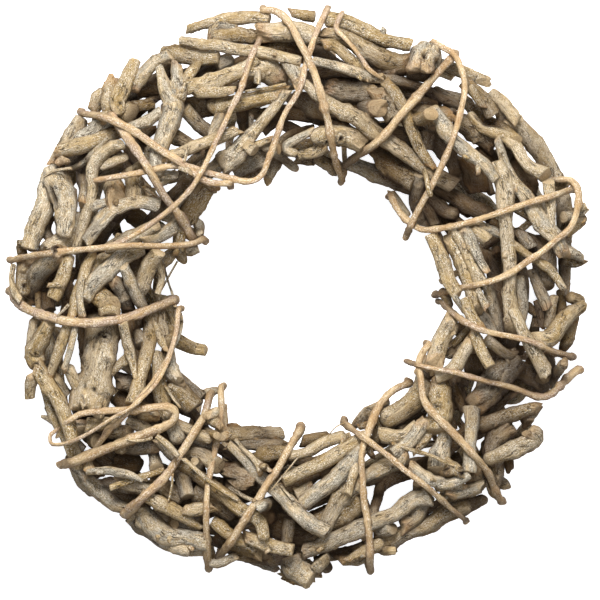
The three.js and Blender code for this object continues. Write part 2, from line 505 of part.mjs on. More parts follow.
    [1, [-174, 91, 4.5], [-170, 84, 7], [-166, 74, 8], [-162, 62, 7.5], [-161, 52, 6.5], [-164, 42, 5]],
    [1.5, [-175, 92, 4.5], [-177, 75, 6], [-180, 60, 6], [-184, 47, 6.5], [-188, 34, 6]],
    [1, [-97, 64, 5.4], [-110, 66, 4.6], [-122, 64, 4.6], [-131, 59, 4.5], [-139, 50, 4.6], [-149, 39, 3.8]],
    [1, [-100, 55, 4.5], [-112, 50, 5], [-125, 44, 4.5], [-136, 39, 3]],
    [2, [-130, 127, 7], [-143, 119, 7], [-153, 112, 6], [-163, 102, 5]],
    [2, [-153, 128, 4.6], [-158, 116, 6], [-166, 104, 6], [-172, 94, 4]],
    [1, [-132, 113, 1.2], [-142, 103, 2.2], [-150, 96, 2.2], [-160, 91, 1.8]],
    [1, [-158, 92, 1.2], [-170, 90, 1.1], [-178, 86, 0.8]],
    [1.5, [-119, 100, 3.5], [-129, 96, 4], [-138, 92, 3.6]],
    [2, [-162, 98, 5], [-169, 95, 3]],
    [2, [-117, 93, 5], [-113, 80, 6.5], [-112, 67, 6]],
    [2, [-107, 76, 3.4], [-99, 74, 3]],
    [2, [-98, 88, 4], [-85, 86, 3.2]],
    [2, [-98, 82, 3.6], [-86, 88, 3.6]],
    [3, [-173, 60, 4], [-177, 50, 4], [-172, 42, 3.6]],
    [3, [-152, 97, 5], [-150, 82, 5], [-150, 66, 4.6]],
    [2.5, [-141, 63, 4], [-132, 66, 3.4]],
    [3, [-129, 56, 3], [-127, 43, 3]],
    [3, [-66, 82, 6], [-75, 68, 7.5], [-80, 54, 6]],
    [4, [-132, 82, 8], [-126, 66, 8]],
  ],
  11: [
    [1, [-100, 86, 5], [-97, 104, 6], [-92, 120, 6.5], [-88, 133, 7.5], [-85, 146, 7]],
    [1, [-88, 136, 6], [-94, 148, 4.8], [-98, 163, 2.2]],
    [1, [-85, 142, 6], [-85, 156, 4.6], [-85, 165, 4]],
    [1, [-84, 140, 5.4], [-77, 154, 4.4], [-72, 162, 4], [-68, 167, 1.8]],
    [1, [-115, 168, 3.8], [-119, 155, 5], [-123, 145, 6], [-126, 138, 5.6], [-124, 129, 4]],
    [1.5, [-90, 172, 3.6], [-102, 163, 4.5], [-112, 153, 5], [-117, 146, 4]],
    [2, [-131, 151, 7], [-130, 136, 8.5], [-117, 130, 7]],
    [2, [-98, 147, 5], [-114, 145, 5.2]],
    [2, [-93, 166, 4], [-95, 157, 4.6], [-107, 150, 4]],
    [1, [-78, 149, 5], [-62, 151, 6.5], [-48, 156, 5.5], [-38, 161, 5], [-29, 169, 3.5]],
    [1, [-42, 160, 4.4], [-33, 160, 4], [-26, 158, 2.8]],
    [1.5, [-73, 146, 5], [-58, 146, 4], [-44, 147, 2.8]],
    [2, [-96, 173, 4], [-85, 172, 6], [-70, 170, 5.5], [-55, 169, 4]],
    [2.5, [-57, 163, 4.6], [-44, 168, 4.6]],
    [1, [-41, 117, 4], [-57, 110, 5], [-75, 104, 4.5], [-92, 96, 4]],
    [1.5, [-122, 121, 3.2], [-110, 125, 4.6], [-97, 131, 4]],
    [3, [-116, 135, 4], [-100, 138, 3.4]],
    [2, [-104, 106, 5], [-102, 93, 5]],
    [0.5, [-76, 108, 1], [-79, 96, 1]],
    [0.7, [-83, 92, 1.6], [-74, 89, 2.4]],
    [4, [-80, 134, 5], [-68, 122, 5], [-58, 111, 4.4]],
    [3, [-92, 117, 5], [-80, 111, 4.4], [-68, 107, 3.4]],
    [3, [-84, 82, 5], [-70, 79, 5], [-58, 80, 4.4]],
    [3, [-146, 133, 5], [-138, 142, 5.8], [-127, 150, 5.8]],
    [4, [-80, 138, 5.8], [-66, 136, 7], [-52, 134, 6]],
  ],
};

// Forks, by clock hour: the places in the list above of an arm and of the stem it grows from
const FORKS = {
  8: [[3, 2], [18, 17]],
  11: [[1, 0], [2, 0], [3, 0], [10, 9], [11, 9]],
};

let seed = 1778;
function draw() {
  seed = (seed * 16807) % 2147483647;
  return seed / 2147483647;
}

// Height of the middle of a branch of this radius, lying in this layer
function layerHeight(x, y, radius, layer) {
  const offset = (Math.hypot(x, y) - RING_RADIUS) / RING_HALF_WIDTH;
  const arch = Math.sqrt(Math.max(0, 1 - offset * offset));
  if (layer < 0) {
    return RIM_HEIGHT - BELLY * arch - LAYER * (layer + 1) + radius;
  }
  return RIM_HEIGHT + CROWN * arch - LAYER * (layer - 1) - radius;
}

function topHeight(x, y) {
  return layerHeight(x, y, 0, 1);
}

// Branches under the ring, along it and a little askew, bowed with it
function backBranches(hour) {
  const list = [];
  for (let k = 0; k < BACK.perHour; k++) {
    const angle = (90 - 30 * hour + 30 * (draw() - 0.5)) * Math.PI / 180;
    const distance = BACK.inner + BACK.breadth * (k + draw()) / BACK.perHour;
    const half = BACK.reach + BACK.reachSpread * draw();
    const turned = angle + Math.PI / 2 + BACK.askew * (draw() - 0.5);
    const radius = BACK.radius + BACK.radiusSpread * draw();
    const layer = -BACK.depth - BACK.depthSpread * draw();
    const bow = half * half / (BACK.bow * distance);
    const places = [[-half, 0, 0.8], [0, bow, 1.1], [half, 0, 0.85]];
    list.push([layer, ...places.map(([run, out, share]) => [
      (distance + out) * Math.cos(angle) + run * Math.cos(turned),
      (distance + out) * Math.sin(angle) + run * Math.sin(turned),
      radius * share,
    ])]);
  }
  return list;
}

const SAMPLES = 24;
const MOST_STRETCHES = 3;
const LOG_STRETCHES = 1;
const LONGEST_TIP = 0.3;

// A branch is a bent rod of one to three straight stretches, with beads along its middle
function makeStick(hour, layer, places) {
  const knots = places.map(([x, y, r]) => new THREE.Vector3(x, y, layerHeight(x, y, r, layer)));
  const curve = new THREE.CatmullRomCurve3(knots, false, 'catmullrom', 0.5);
  const radii = places.map((place) => place[2]);
  const most = layer < DEEPEST ? MOST_STRETCHES : LOG_STRETCHES;
  const stretches = Math.min(most, places.length - 1);
  const path = [];
  let length = 0;
  for (let k = 0; k <= stretches; k++) {
    const t = k / stretches;
    const p = curve.getPoint(t);
    path.push({ x: p.x, y: p.y, z: p.z, r: radiusAt(radii, t), u: 2 * t - 1 });
    length += k > 0 ? apart(path[k - 1], path[k]) : 0;
  }
  const start = Math.min(LONGEST_TIP, radii[0] / length);
  const finish = 1 - Math.min(LONGEST_TIP, radii[radii.length - 1] / length);
  const line = [];
  for (let k = 0; k <= SAMPLES; k++) {
    line.push(pointOn(path, start + (finish - start) * k / SAMPLES));
  }
  return { hour, path, line, lift: 0, tilt: 0 };
}

function pointOn(path, t) {
  const place = t * (path.length - 1);
  const before = Math.min(Math.floor(place), path.length - 2);
  const point = {};
  for (const key of ['x', 'y', 'z', 'r', 'u']) {
    point[key] = path[before][key] + (path[before + 1][key] - path[before][key]) * (place - before);
  }
  return point;
}

function radiusAt(radii, t) {
  const place = t * (radii.length - 1);
  const before = Math.min(Math.floor(place), radii.length - 2);
  return radii[before] + (radii[before + 1] - radii[before]) * (place - before);
}

function heightAt(stick, sample) {
  return sample.z + stick.lift + stick.tilt * sample.u;
}

// The logs are the thick branches that lie deep under the others
const HOURS = [1, 2, 3, 4, 5, 6, 7, 8, 9, 10, 11, 12];
const sticks = [];
const logs = [];
for (const hour of HOURS) {
  const all = [...BRANCHES[hour], ...backBranches(hour)].map(([layer, ...places]) => {
    const thickest = Math.max(...places.map((place) => place[2]));
    const stick = makeStick(hour, layer, places);
    if (layer < DEEPEST && thickest > THINNEST) {
      sticks.push(stick);
    } else if (thickest > LOG) {
      logs.push(stick);
    }
    return stick;
  });
  for (const [arm, stem] of FORKS[hour] ?? []) {
    all[arm].stem = all[stem];
  }
}

// Where two branches pass over or beside each other: the closest place in each third
const BESIDE = 3;

function crossings(one, two) {
  const pair = { touch: CLEAR };
  const found = [];
  for (let third = 0; third < 3; third++) {
    let best = null;
    for (let k = third * SAMPLES / 3; k <= (third + 1) * SAMPLES / 3; k++) {
      const p = one.line[k];
      for (const q of two.line) {
        const depth = p.r + q.r - apart(p, q);
        if (depth > -BESIDE && (best === null || depth > best.depth)) {
          best = { pair, one, two, p, q, depth };
        }
      }
    }
    if (best !== null) {
      found.push(best);
    }
  }
  return found;
}

function apart(p, q) {
  return Math.hypot(p.x - q.x, p.y - q.y);
}

// Arms of one stem grow through each other at their roots, and an arm's root lies in its stem
function fork(found, stem, arm) {
  for (const { pair } of found) {
    pair.touch = GROWN;
  }
  if (arm.stem === stem) {
    const roots = found.map(({ q }) => q.u);
    found[roots.indexOf(Math.min(...roots))].joint = true;
  }
}

const meetings = [];

function meet(one, two) {
  const found = crossings(one, two);
  if (two.stem && (two.stem === one || two.stem === one.stem)) {
    fork(found, one, two);
  }
  for (const meeting of found) {
    meeting.sign = meeting.p.z >= meeting.q.z ? 1 : -1;
    meetings.push(meeting);
  }
}

for (let i = 0; i < sticks.length; i++) {
  for (let j = i + 1; j < sticks.length; j++) {
    meet(sticks[i], sticks[j]);
  }
}

// The pile settles: a branch is lifted or tilted until it clears the others, and stays
// between the floor and the crown. Branches joined to each other are held in touch.
const TILT_EASE = 0.6;
const ROUNDS = 120;

function settle(rounds) {
  for (const meeting of meetings) {
    const reach = reachOf(meeting, meeting.pair.touch);
    meeting.need = Math.sqrt(Math.max(0, reach * reach - apart(meeting.p, meeting.q) ** 2));
  }
  for (let round = 0; round < rounds; round++) {
    meetings.forEach(moveApart);
    meetings.filter((meeting) => meeting.joint).forEach(moveApart);
    for (const stick of sticks) {
      keepInside(stick, stick.line[0]);
      keepInside(stick, stick.line[SAMPLES / 2]);
      keepInside(stick, stick.line[SAMPLES]);
    }
  }
}

function reachOf({ p, q }, touch) {
  return touch.share * (p.r + q.r) - touch.sink;
}

function gapOf({ one, p, two, q, sign, need }) {
  return sign * (heightAt(one, p) - heightAt(two, q)) - need;
}

function moveApart(meeting) {
  const { one, p, two, q, sign, joint } = meeting;
  const gap = gapOf(meeting);
  if (!joint && (gap >= 0 || meeting.need === 0)) {
    return;
  }
  const share = -sign * gap / (2 + TILT_EASE * (p.u * p.u + q.u * q.u));
  one.lift += share;
  one.tilt += share * TILT_EASE * p.u;
  two.lift -= share;
  two.tilt -= share * TILT_EASE * q.u;
}

function keepInside(stick, sample) {
  const lowest = FLOOR + sample.r;
  const highest = Math.max(lowest, topHeight(sample.x, sample.y) + CROWN_PLAY - sample.r);
  const height = heightAt(stick, sample);
  const wanted = Math.max(lowest, Math.min(height, highest));
  const share = (wanted - height) / (1 + TILT_EASE * sample.u * sample.u);
  stick.lift += share;
  stick.tilt += share * TILT_EASE * sample.u;
}

// Of the meetings of this group with another, or of any two groups where none is given, the
// one where they touch best
function bestJoint(group, touch) {
  let best = null;
  for (const meeting of meetings) {
    const first = meeting.one.group;
    const second = meeting.two.group;
    if (!first || !second || first === second || (group && first !== group && second !== group)) {
      continue;
    }
    const moved = group ?? (first.length < second.length ? first : second);
    const other = moved === first ? second : first;
    const { p, q } = meeting;
    const slide = Math.max(0, apart(p, q) - reachOf(meeting, touch) + SLIDE_OVER);
    const score = Math.abs(gapOf(meeting)) + SLIDE_COST * slide + touch.sizeCost * other.length;
    if (best === null || score < best.score) {
      best = { meeting, moved, other, slide, score };
    }
  }
  return best;
}

// Two groups become one, slid against each other where they only lie beside each other
const SLIDE_OVER = 0.4;
const SLIDE_COST = 3;

function join(found, touch) {
  slideAgainst(found.moved, found);
  found.meeting.joint = true;
  found.meeting.pair.touch = touch;
  for (const stick of found.moved) {
    found.other.push(stick);
    stick.group = found.other;
  }
}

function slideAgainst(group, { meeting, slide }) {
  const { one, p, q } = meeting;
  const share = (one.group === group ? -1 : 1) * slide / Math.max(apart(p, q), 0.001);
  const x = share * (p.x - q.x);
  const y = share * (p.y - q.y);
  for (const stick of group) {
    for (const point of [...stick.path, ...stick.line]) {
      point.x += x;
      point.y += y;
    }
  }
}

function setGroups(groups) {
  for (const group of groups) {
    for (const stick of group) {
      stick.group = group;
    }
  }
}

// Over and over, the smallest group of branches joins the one that it touches best
function formBunches(groups) {
  setGroups(groups);
  const loose = [];
  while (groups.length > BUNCHES) {
    groups.sort((a, b) => b.length - a.length);
    const group = groups.pop();
    const found = bestJoint(group, FUSED);
    if (found !== null) {
      join(found, FUSED);
      continue;
    }
    for (const stick of group) {
      stick.group = null;
      loose.push(stick);
    }
  }
  return loose;
}

// Each of these branches joins the bunch that it touches best, and the rest are given back
function takeIn(late) {
  for (const stick of late) {
    stick.group = [stick];
    const found = bestJoint(stick.group, FUSED);
    if (found === null) {
      stick.group = null;
    } else {
      join(found, FUSED);
    }
  }
  return late.filter((stick) => stick.group === null);
}

// Two by two, the bunches come to rest on each other, until all are one pile
function restOnEachOther(groups) {
  setGroups(groups);
  let found = bestJoint(null, RESTING);
  while (found !== null) {
    join(found, RESTING);
    found = bestJoint(null, RESTING);
  }
}

settle(ROUNDS);
const bunches = sticks.filter((stick) => !stick.stem).map((stem) => (
  sticks.filter((stick) => stick === stem || stick.stem === stem)
));
const loose = formBunches(bunches);
for (const log of logs) {
  for (const stick of sticks) {
    meet(stick, log);
  }
  sticks.push(log);
}
settle(ROUNDS);
takeIn(takeIn([...logs, ...loose]));
restOnEachOther(bunches.map((bunch) => [...bunch]));
settle(2 * ROUNDS);

// What a vine can rest on: beads along the branches, and along the vines laid before it
const laid = bunches.flat().flatMap((stick) => stick.line.map((sample) => (
  { x: sample.x, y: sample.y, z: heightAt(stick, sample), r: sample.r }
)));

// Height at which a vine of this radius lies on the pile (side 1) or hangs under it (side -1)
function touchHeight(x, y, radius, side) {
  let height = side > 0 ? RIM_HEIGHT + PILE_TOP : RIM_HEIGHT - PILE_BOTTOM;
  for (const bead of laid) {
    const reach = bead.r + radius + CLEARANCE;
    const spare = reach * reach - (bead.x - x) ** 2 - (bead.y - y) ** 2;
    if (spare > 0) {
      height = side * Math.max(side * height, side * bead.z + Math.sqrt(spare));
    }
  }
  return height;
}

// A taut string over these points: it touches only those that stand out
function tautLine(points, side) {
  const hull = [];
  for (const point of points) {
    while (hull.length > 1 && !standsOut(hull[hull.length - 2], hull[hull.length - 1], point, side)) {
      hull.pop();
    }
    hull.push(point);
  }
  return hull;
}

function standsOut(before, middle, after, side) {
  const rise = (middle.z - before.z) * (after.run - before.run);
  return side * (rise - (after.z - before.z) * (middle.run - before.run)) > 0;
}

function heightOn(hull, run) {
  let k = 1;
  while (k < hull.length - 1 && hull[k].run < run) {
    k += 1;
  }
  const share = (run - hull[k - 1].run) / (hull[k].run - hull[k - 1].run);
  return hull[k - 1].z + (hull[k].z - hull[k - 1].z) * share;
}

// A vine pulled tight over the pile (side 1) or under it (side -1) along a route in plan
function tightened(route, radiusOf, side) {
  const plan = new THREE.CatmullRomCurve3(
    route.map(([x, y]) => new THREE.Vector3(x, y, 0)), false, 'catmullrom', 0.5,
  );
  plan.arcLengthDivisions = 400;
  const length = plan.getLength();
  const steps = Math.round(length / FINE_STEP);
  const marks = [];
  for (let k = 0; k <= steps; k++) {
    const p = plan.getPointAt(k / steps);
    marks.push({ run: k / steps, z: touchHeight(p.x, p.y, radiusOf(k / steps), side) });
  }
  const hull = tautLine(marks, side);
  return bendsOf(hull, length).map((run) => {
    const p = plan.getPointAt(run);
    return { x: p.x, y: p.y, z: heightOn(hull, run), r: radiusOf(run) };
  });
}

// Places where the vine bends: where it lies on a branch, and at even steps between
function bendsOf(hull, length) {
  const runs = [];
  for (let k = 1; k < hull.length; k++) {
    const span = hull[k].run - hull[k - 1].run;
    const steps = Math.max(1, Math.round(span * length / VINE_STEP));
    for (let part = 0; part < steps; part++) {
      const run = hull[k - 1].run + span * part / steps;
      if (runs.length === 0 || (run - runs[runs.length - 1]) * length > SHORTEST_BEND) {
        runs.push(run);
      }
    }
  }
  return [...runs, 1];
}

// A point moved away from the ring's middle line, to the height given
function beside(point, out, height) {
  const distance = Math.hypot(point.x, point.y);
  const away = (distance > RING_RADIUS ? out : -out) / distance;
  return { x: point.x * (1 + away), y: point.y * (1 + away), z: height, r: point.r };
}

function sideEnd(point) {
  const middle = (point.z + SIDE_LOW) / 2;
  return [
    beside(point, SHOULDER_OUT, point.z - SHOULDER_DROP),
    beside(point, RIM_OUT, middle),
    beside(point, SHOULDER_OUT, middle - SIDE_END),
  ];
}

function tuckedEnd(point, before) {
  const share = TUCK_LENGTH / apart(point, before);
  const x = point.x + (point.x - before.x) * share;
  const y = point.y + (point.y - before.y) * share;
  return [{ x, y, z: point.z - TUCK_DROP, r: point.r * TUCK_TAPER }];
}

function endOf(point, before, style) {
  return style === 'tuck' ? tuckedEnd(point, before) : sideEnd(point);
}

// Round the rim and along under the ring, as low as the surface that the wreath rests on
function roundTheRim(vine, rim) {
  const last = vine.under[vine.under.length - 1];
  const start = beside(rim, -UNDER_IN, 0);
  const finish = beside({ x: last[0], y: last[1] }, -UNDER_STOP, 0);
  const route = [[start.x, start.y], ...vine.under.slice(0, -1), [finish.x, finish.y]];
  const under = tightened(route, () => rim.r, -1);
  const lowest = Math.min(...under.map((point) => point.z));
  for (const point of under) {
    point.z += rim.r - FLAT - lowest;
  }
  return [
    beside(rim, SHOULDER_OUT, rim.z - SHOULDER_DROP),
    beside(rim, RIM_OUT, (rim.z + SIDE_END) / 2),
    beside(rim, TURN_OUT, TURN_HEIGHT),
    ...under,
  ];
}

function vinePath(vine) {
  const [first, last] = vine.ends;
  const radiusOf = (share) => vine.radii[0] + (vine.radii[1] - vine.radii[0]) * share;
  const front = tightened(vine.front, radiusOf, 1);
  const rim = front[front.length - 1];
  const tail = last === 'under' ? roundTheRim(vine, rim) : endOf(rim, front[front.length - 2], last);
  return [...endOf(front[0], front[1], first).reverse(), ...front, ...tail];
}

// Beads along a path, close enough to rest another vine on
function beadsOf(path) {
  const beads = [];
  for (let k = 0; k < path.length - 1; k++) {
    for (let part = 0; part < 4; part++) {
      const bead = {};
      for (const key of ['x', 'y', 'z', 'r']) {
        bead[key] = path[k][key] + (path[k + 1][key] - path[k][key]) * part / 4;
      }
      beads.push(bead);
    }
  }
  return beads;
}

const vinePaths = {};
for (const [name, vine] of Object.entries(VINES)) {
  vinePaths[name] = vinePath(vine);
  laid.push(...beadsOf(vinePaths[name]));
}

// A closed rod through these points, with a flat cut at each end, swollen by the extra
function rod(path, sides, extra) {
  const steps = path.length - 1;
  const geometry = new THREE.CylinderGeometry(1, 1, 1, sides, steps);
  const points = path.map(({ x, y, z }) => new THREE.Vector3(x, y, z));
  let normal = new THREE.Vector3(0, 0, 1);
  const rings = points.map((point, k) => {
    const next = Math.min(k + 1, steps);
    const last = Math.max(k - 1, 0);
    const tangent = points[next].clone().sub(points[last]).normalize();
    normal = normal.clone().addScaledVector(tangent, -normal.dot(tangent)).normalize();
    const middle = point.clone().addScaledVector(tangent, extra * (2 * k - last - next));
    return { middle, up: normal, across: tangent.clone().cross(normal) };
  });
  const position = geometry.getAttribute('position');
  for (let v = 0; v < position.count; v++) {
    const k = Math.round((0.5 - position.getY(v)) * steps);
    const { middle, up, across } = rings[k];
    const radius = (path[k].r + extra) * SIDE_SPREAD;
    const place = middle.clone()
      .addScaledVector(up, position.getX(v) * radius)
      .addScaledVector(across, position.getZ(v) * radius);
    position.setXYZ(v, place.x, place.y, place.z);
  }
  return solidOf(geometry);
}

function branchRod(stick, extra) {
  const path = stick.path.map((point) => ({ ...point, z: heightAt(stick, point) }));
  const thick = path.some((point) => point.r > THICK);
  return rod(path, thick ? THICK_SIDES : THIN_SIDES, extra);
}

function solidOf(geometry) {
  geometry.deleteAttribute('normal');
  geometry.deleteAttribute('uv');
  const merged = mergeVertices(geometry, 1e-4);
  return new wasm.Manifold(new wasm.Mesh({
    numProp: 3,
    vertProperties: Float32Array.from(merged.getAttribute('position').array),
    triVerts: Uint32Array.from(merged.getIndex().array),
  }));
}

function overlaps(one, two) {
  const a = one.boundingBox();
  const b = two.boundingBox();
  return [0, 1, 2].every((k) => a.min[k] <= b.max[k] && b.min[k] <= a.max[k]);
}

// What is left of a solid beside those made before it
function cutClear(solid, others) {
  const near = others.filter((other) => overlaps(solid, other));
  return near.length === 0 ? solid : solid.subtract(wasm.Manifold.union(near));
}

function largestBody(solid) {
  const bodies = solid.simplify(FINENESS).decompose();
  return bodies.sort((a, b) => b.volume() - a.volume())[0];
}

// Colours of the bark, told apart a little from bunch to bunch, and of the vine's skin
const BARKS = [0xb09a76, 0xc0ae88, 0xa3977f, 0xb8a27c, 0x9f8e6f];
const BARK_ROUGHNESS = 0.9;
const VINE_SKIN = 0xaf8f66;
const VINE_ROUGHNESS = 0.7;

// Middle of the wreath's outline, which lies on the frame's z axis
const MIDDLE = { x: -1.5, y: 2.7 };

const wreath = new THREE.Group();
wreath.name = 'rattan_wreath';

function addPiece(name, solid, color, roughness) {
  const { vertProperties, triVerts } = solid.translate([-MIDDLE.x, -MIDDLE.y, 0]).getMesh();
  const geometry = new THREE.BufferGeometry();
  geometry.setAttribute('position', new THREE.BufferAttribute(vertProperties, 3));
  geometry.setIndex(new THREE.BufferAttribute(triVerts, 1));
  geometry.computeVertexNormals();
  const material = new THREE.MeshStandardMaterial({ color, roughness, metalness: 0 });
  const mesh = new THREE.Mesh(geometry, material);
  mesh.name = name;
  wreath.add(mesh);
}

// The vines, cut flat where they rest on the surface and clear of the vines below them
const ground = solidOf(new THREE.BoxGeometry(600, 600, 20).translate(0, 0, -10));
const taken = [];
for (const [name, path] of Object.entries(vinePaths)) {
  const vine = cutClear(rod(path, VINE_SIDES, 0).subtract(ground), taken);
  addPiece(name, largestBody(vine), VINE_SKIN, VINE_ROUGHNESS);
  taken.push(rod(path, VINE_SIDES, CLEARANCE));
}

// The bunches, named by clock hour, cut clear of the vines and of the bunches before them
const counts = {};
bunches.forEach((bunch, k) => {
  const rods = bunch.map((stick) => branchRod(stick, 0));
  const solid = largestBody(cutClear(wasm.Manifold.union(rods), taken));
  const hour = String(bunch[0].hour).padStart(2, '0');
  counts[hour] = (counts[hour] ?? 0) + 1;
  const letter = 'abcdefgh'[counts[hour] - 1];
  addPiece(`branches_${hour}_${letter}`, solid, BARKS[k % BARKS.length], BARK_ROUGHNESS);
  taken.push(...bunch.map((stick) => branchRod(stick, CLEARANCE)));
});

export default wreath;
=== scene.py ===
import math
from types import SimpleNamespace

import bmesh
import bpy
import numpy as np
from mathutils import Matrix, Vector


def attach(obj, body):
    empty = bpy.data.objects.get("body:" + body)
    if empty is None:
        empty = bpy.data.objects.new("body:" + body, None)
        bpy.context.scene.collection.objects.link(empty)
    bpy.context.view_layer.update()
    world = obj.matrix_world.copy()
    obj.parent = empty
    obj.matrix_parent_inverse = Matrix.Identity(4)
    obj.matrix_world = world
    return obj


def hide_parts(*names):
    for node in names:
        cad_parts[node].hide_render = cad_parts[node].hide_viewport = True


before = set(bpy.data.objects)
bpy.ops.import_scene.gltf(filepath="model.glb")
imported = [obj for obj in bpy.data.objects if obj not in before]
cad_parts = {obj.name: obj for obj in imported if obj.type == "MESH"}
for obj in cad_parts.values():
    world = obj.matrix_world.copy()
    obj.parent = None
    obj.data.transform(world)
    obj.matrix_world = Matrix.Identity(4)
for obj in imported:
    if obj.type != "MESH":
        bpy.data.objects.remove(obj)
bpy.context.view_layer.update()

# The bunches of branches. Short bits of weathered branch, sawn or broken off, lie in layers
# along a ring, from the rim at mid height up to a crown in front, and are glued to each other
# where they touch. All lengths are millimetres until a piece is finished.
RING_RADIUS = 145
RING_HALF_WIDTH = 62
RIM_HEIGHT = 46
# How far the pile rises over its rim in front, and how far it hangs below it at the back
CROWN = 42
BELLY = 39
LAYER = 11
# Vines pass under the branches, which stay this far off the floor
FLOOR = 7
# A branch may stand out of the crown by this much
CROWN_PLAY = 4

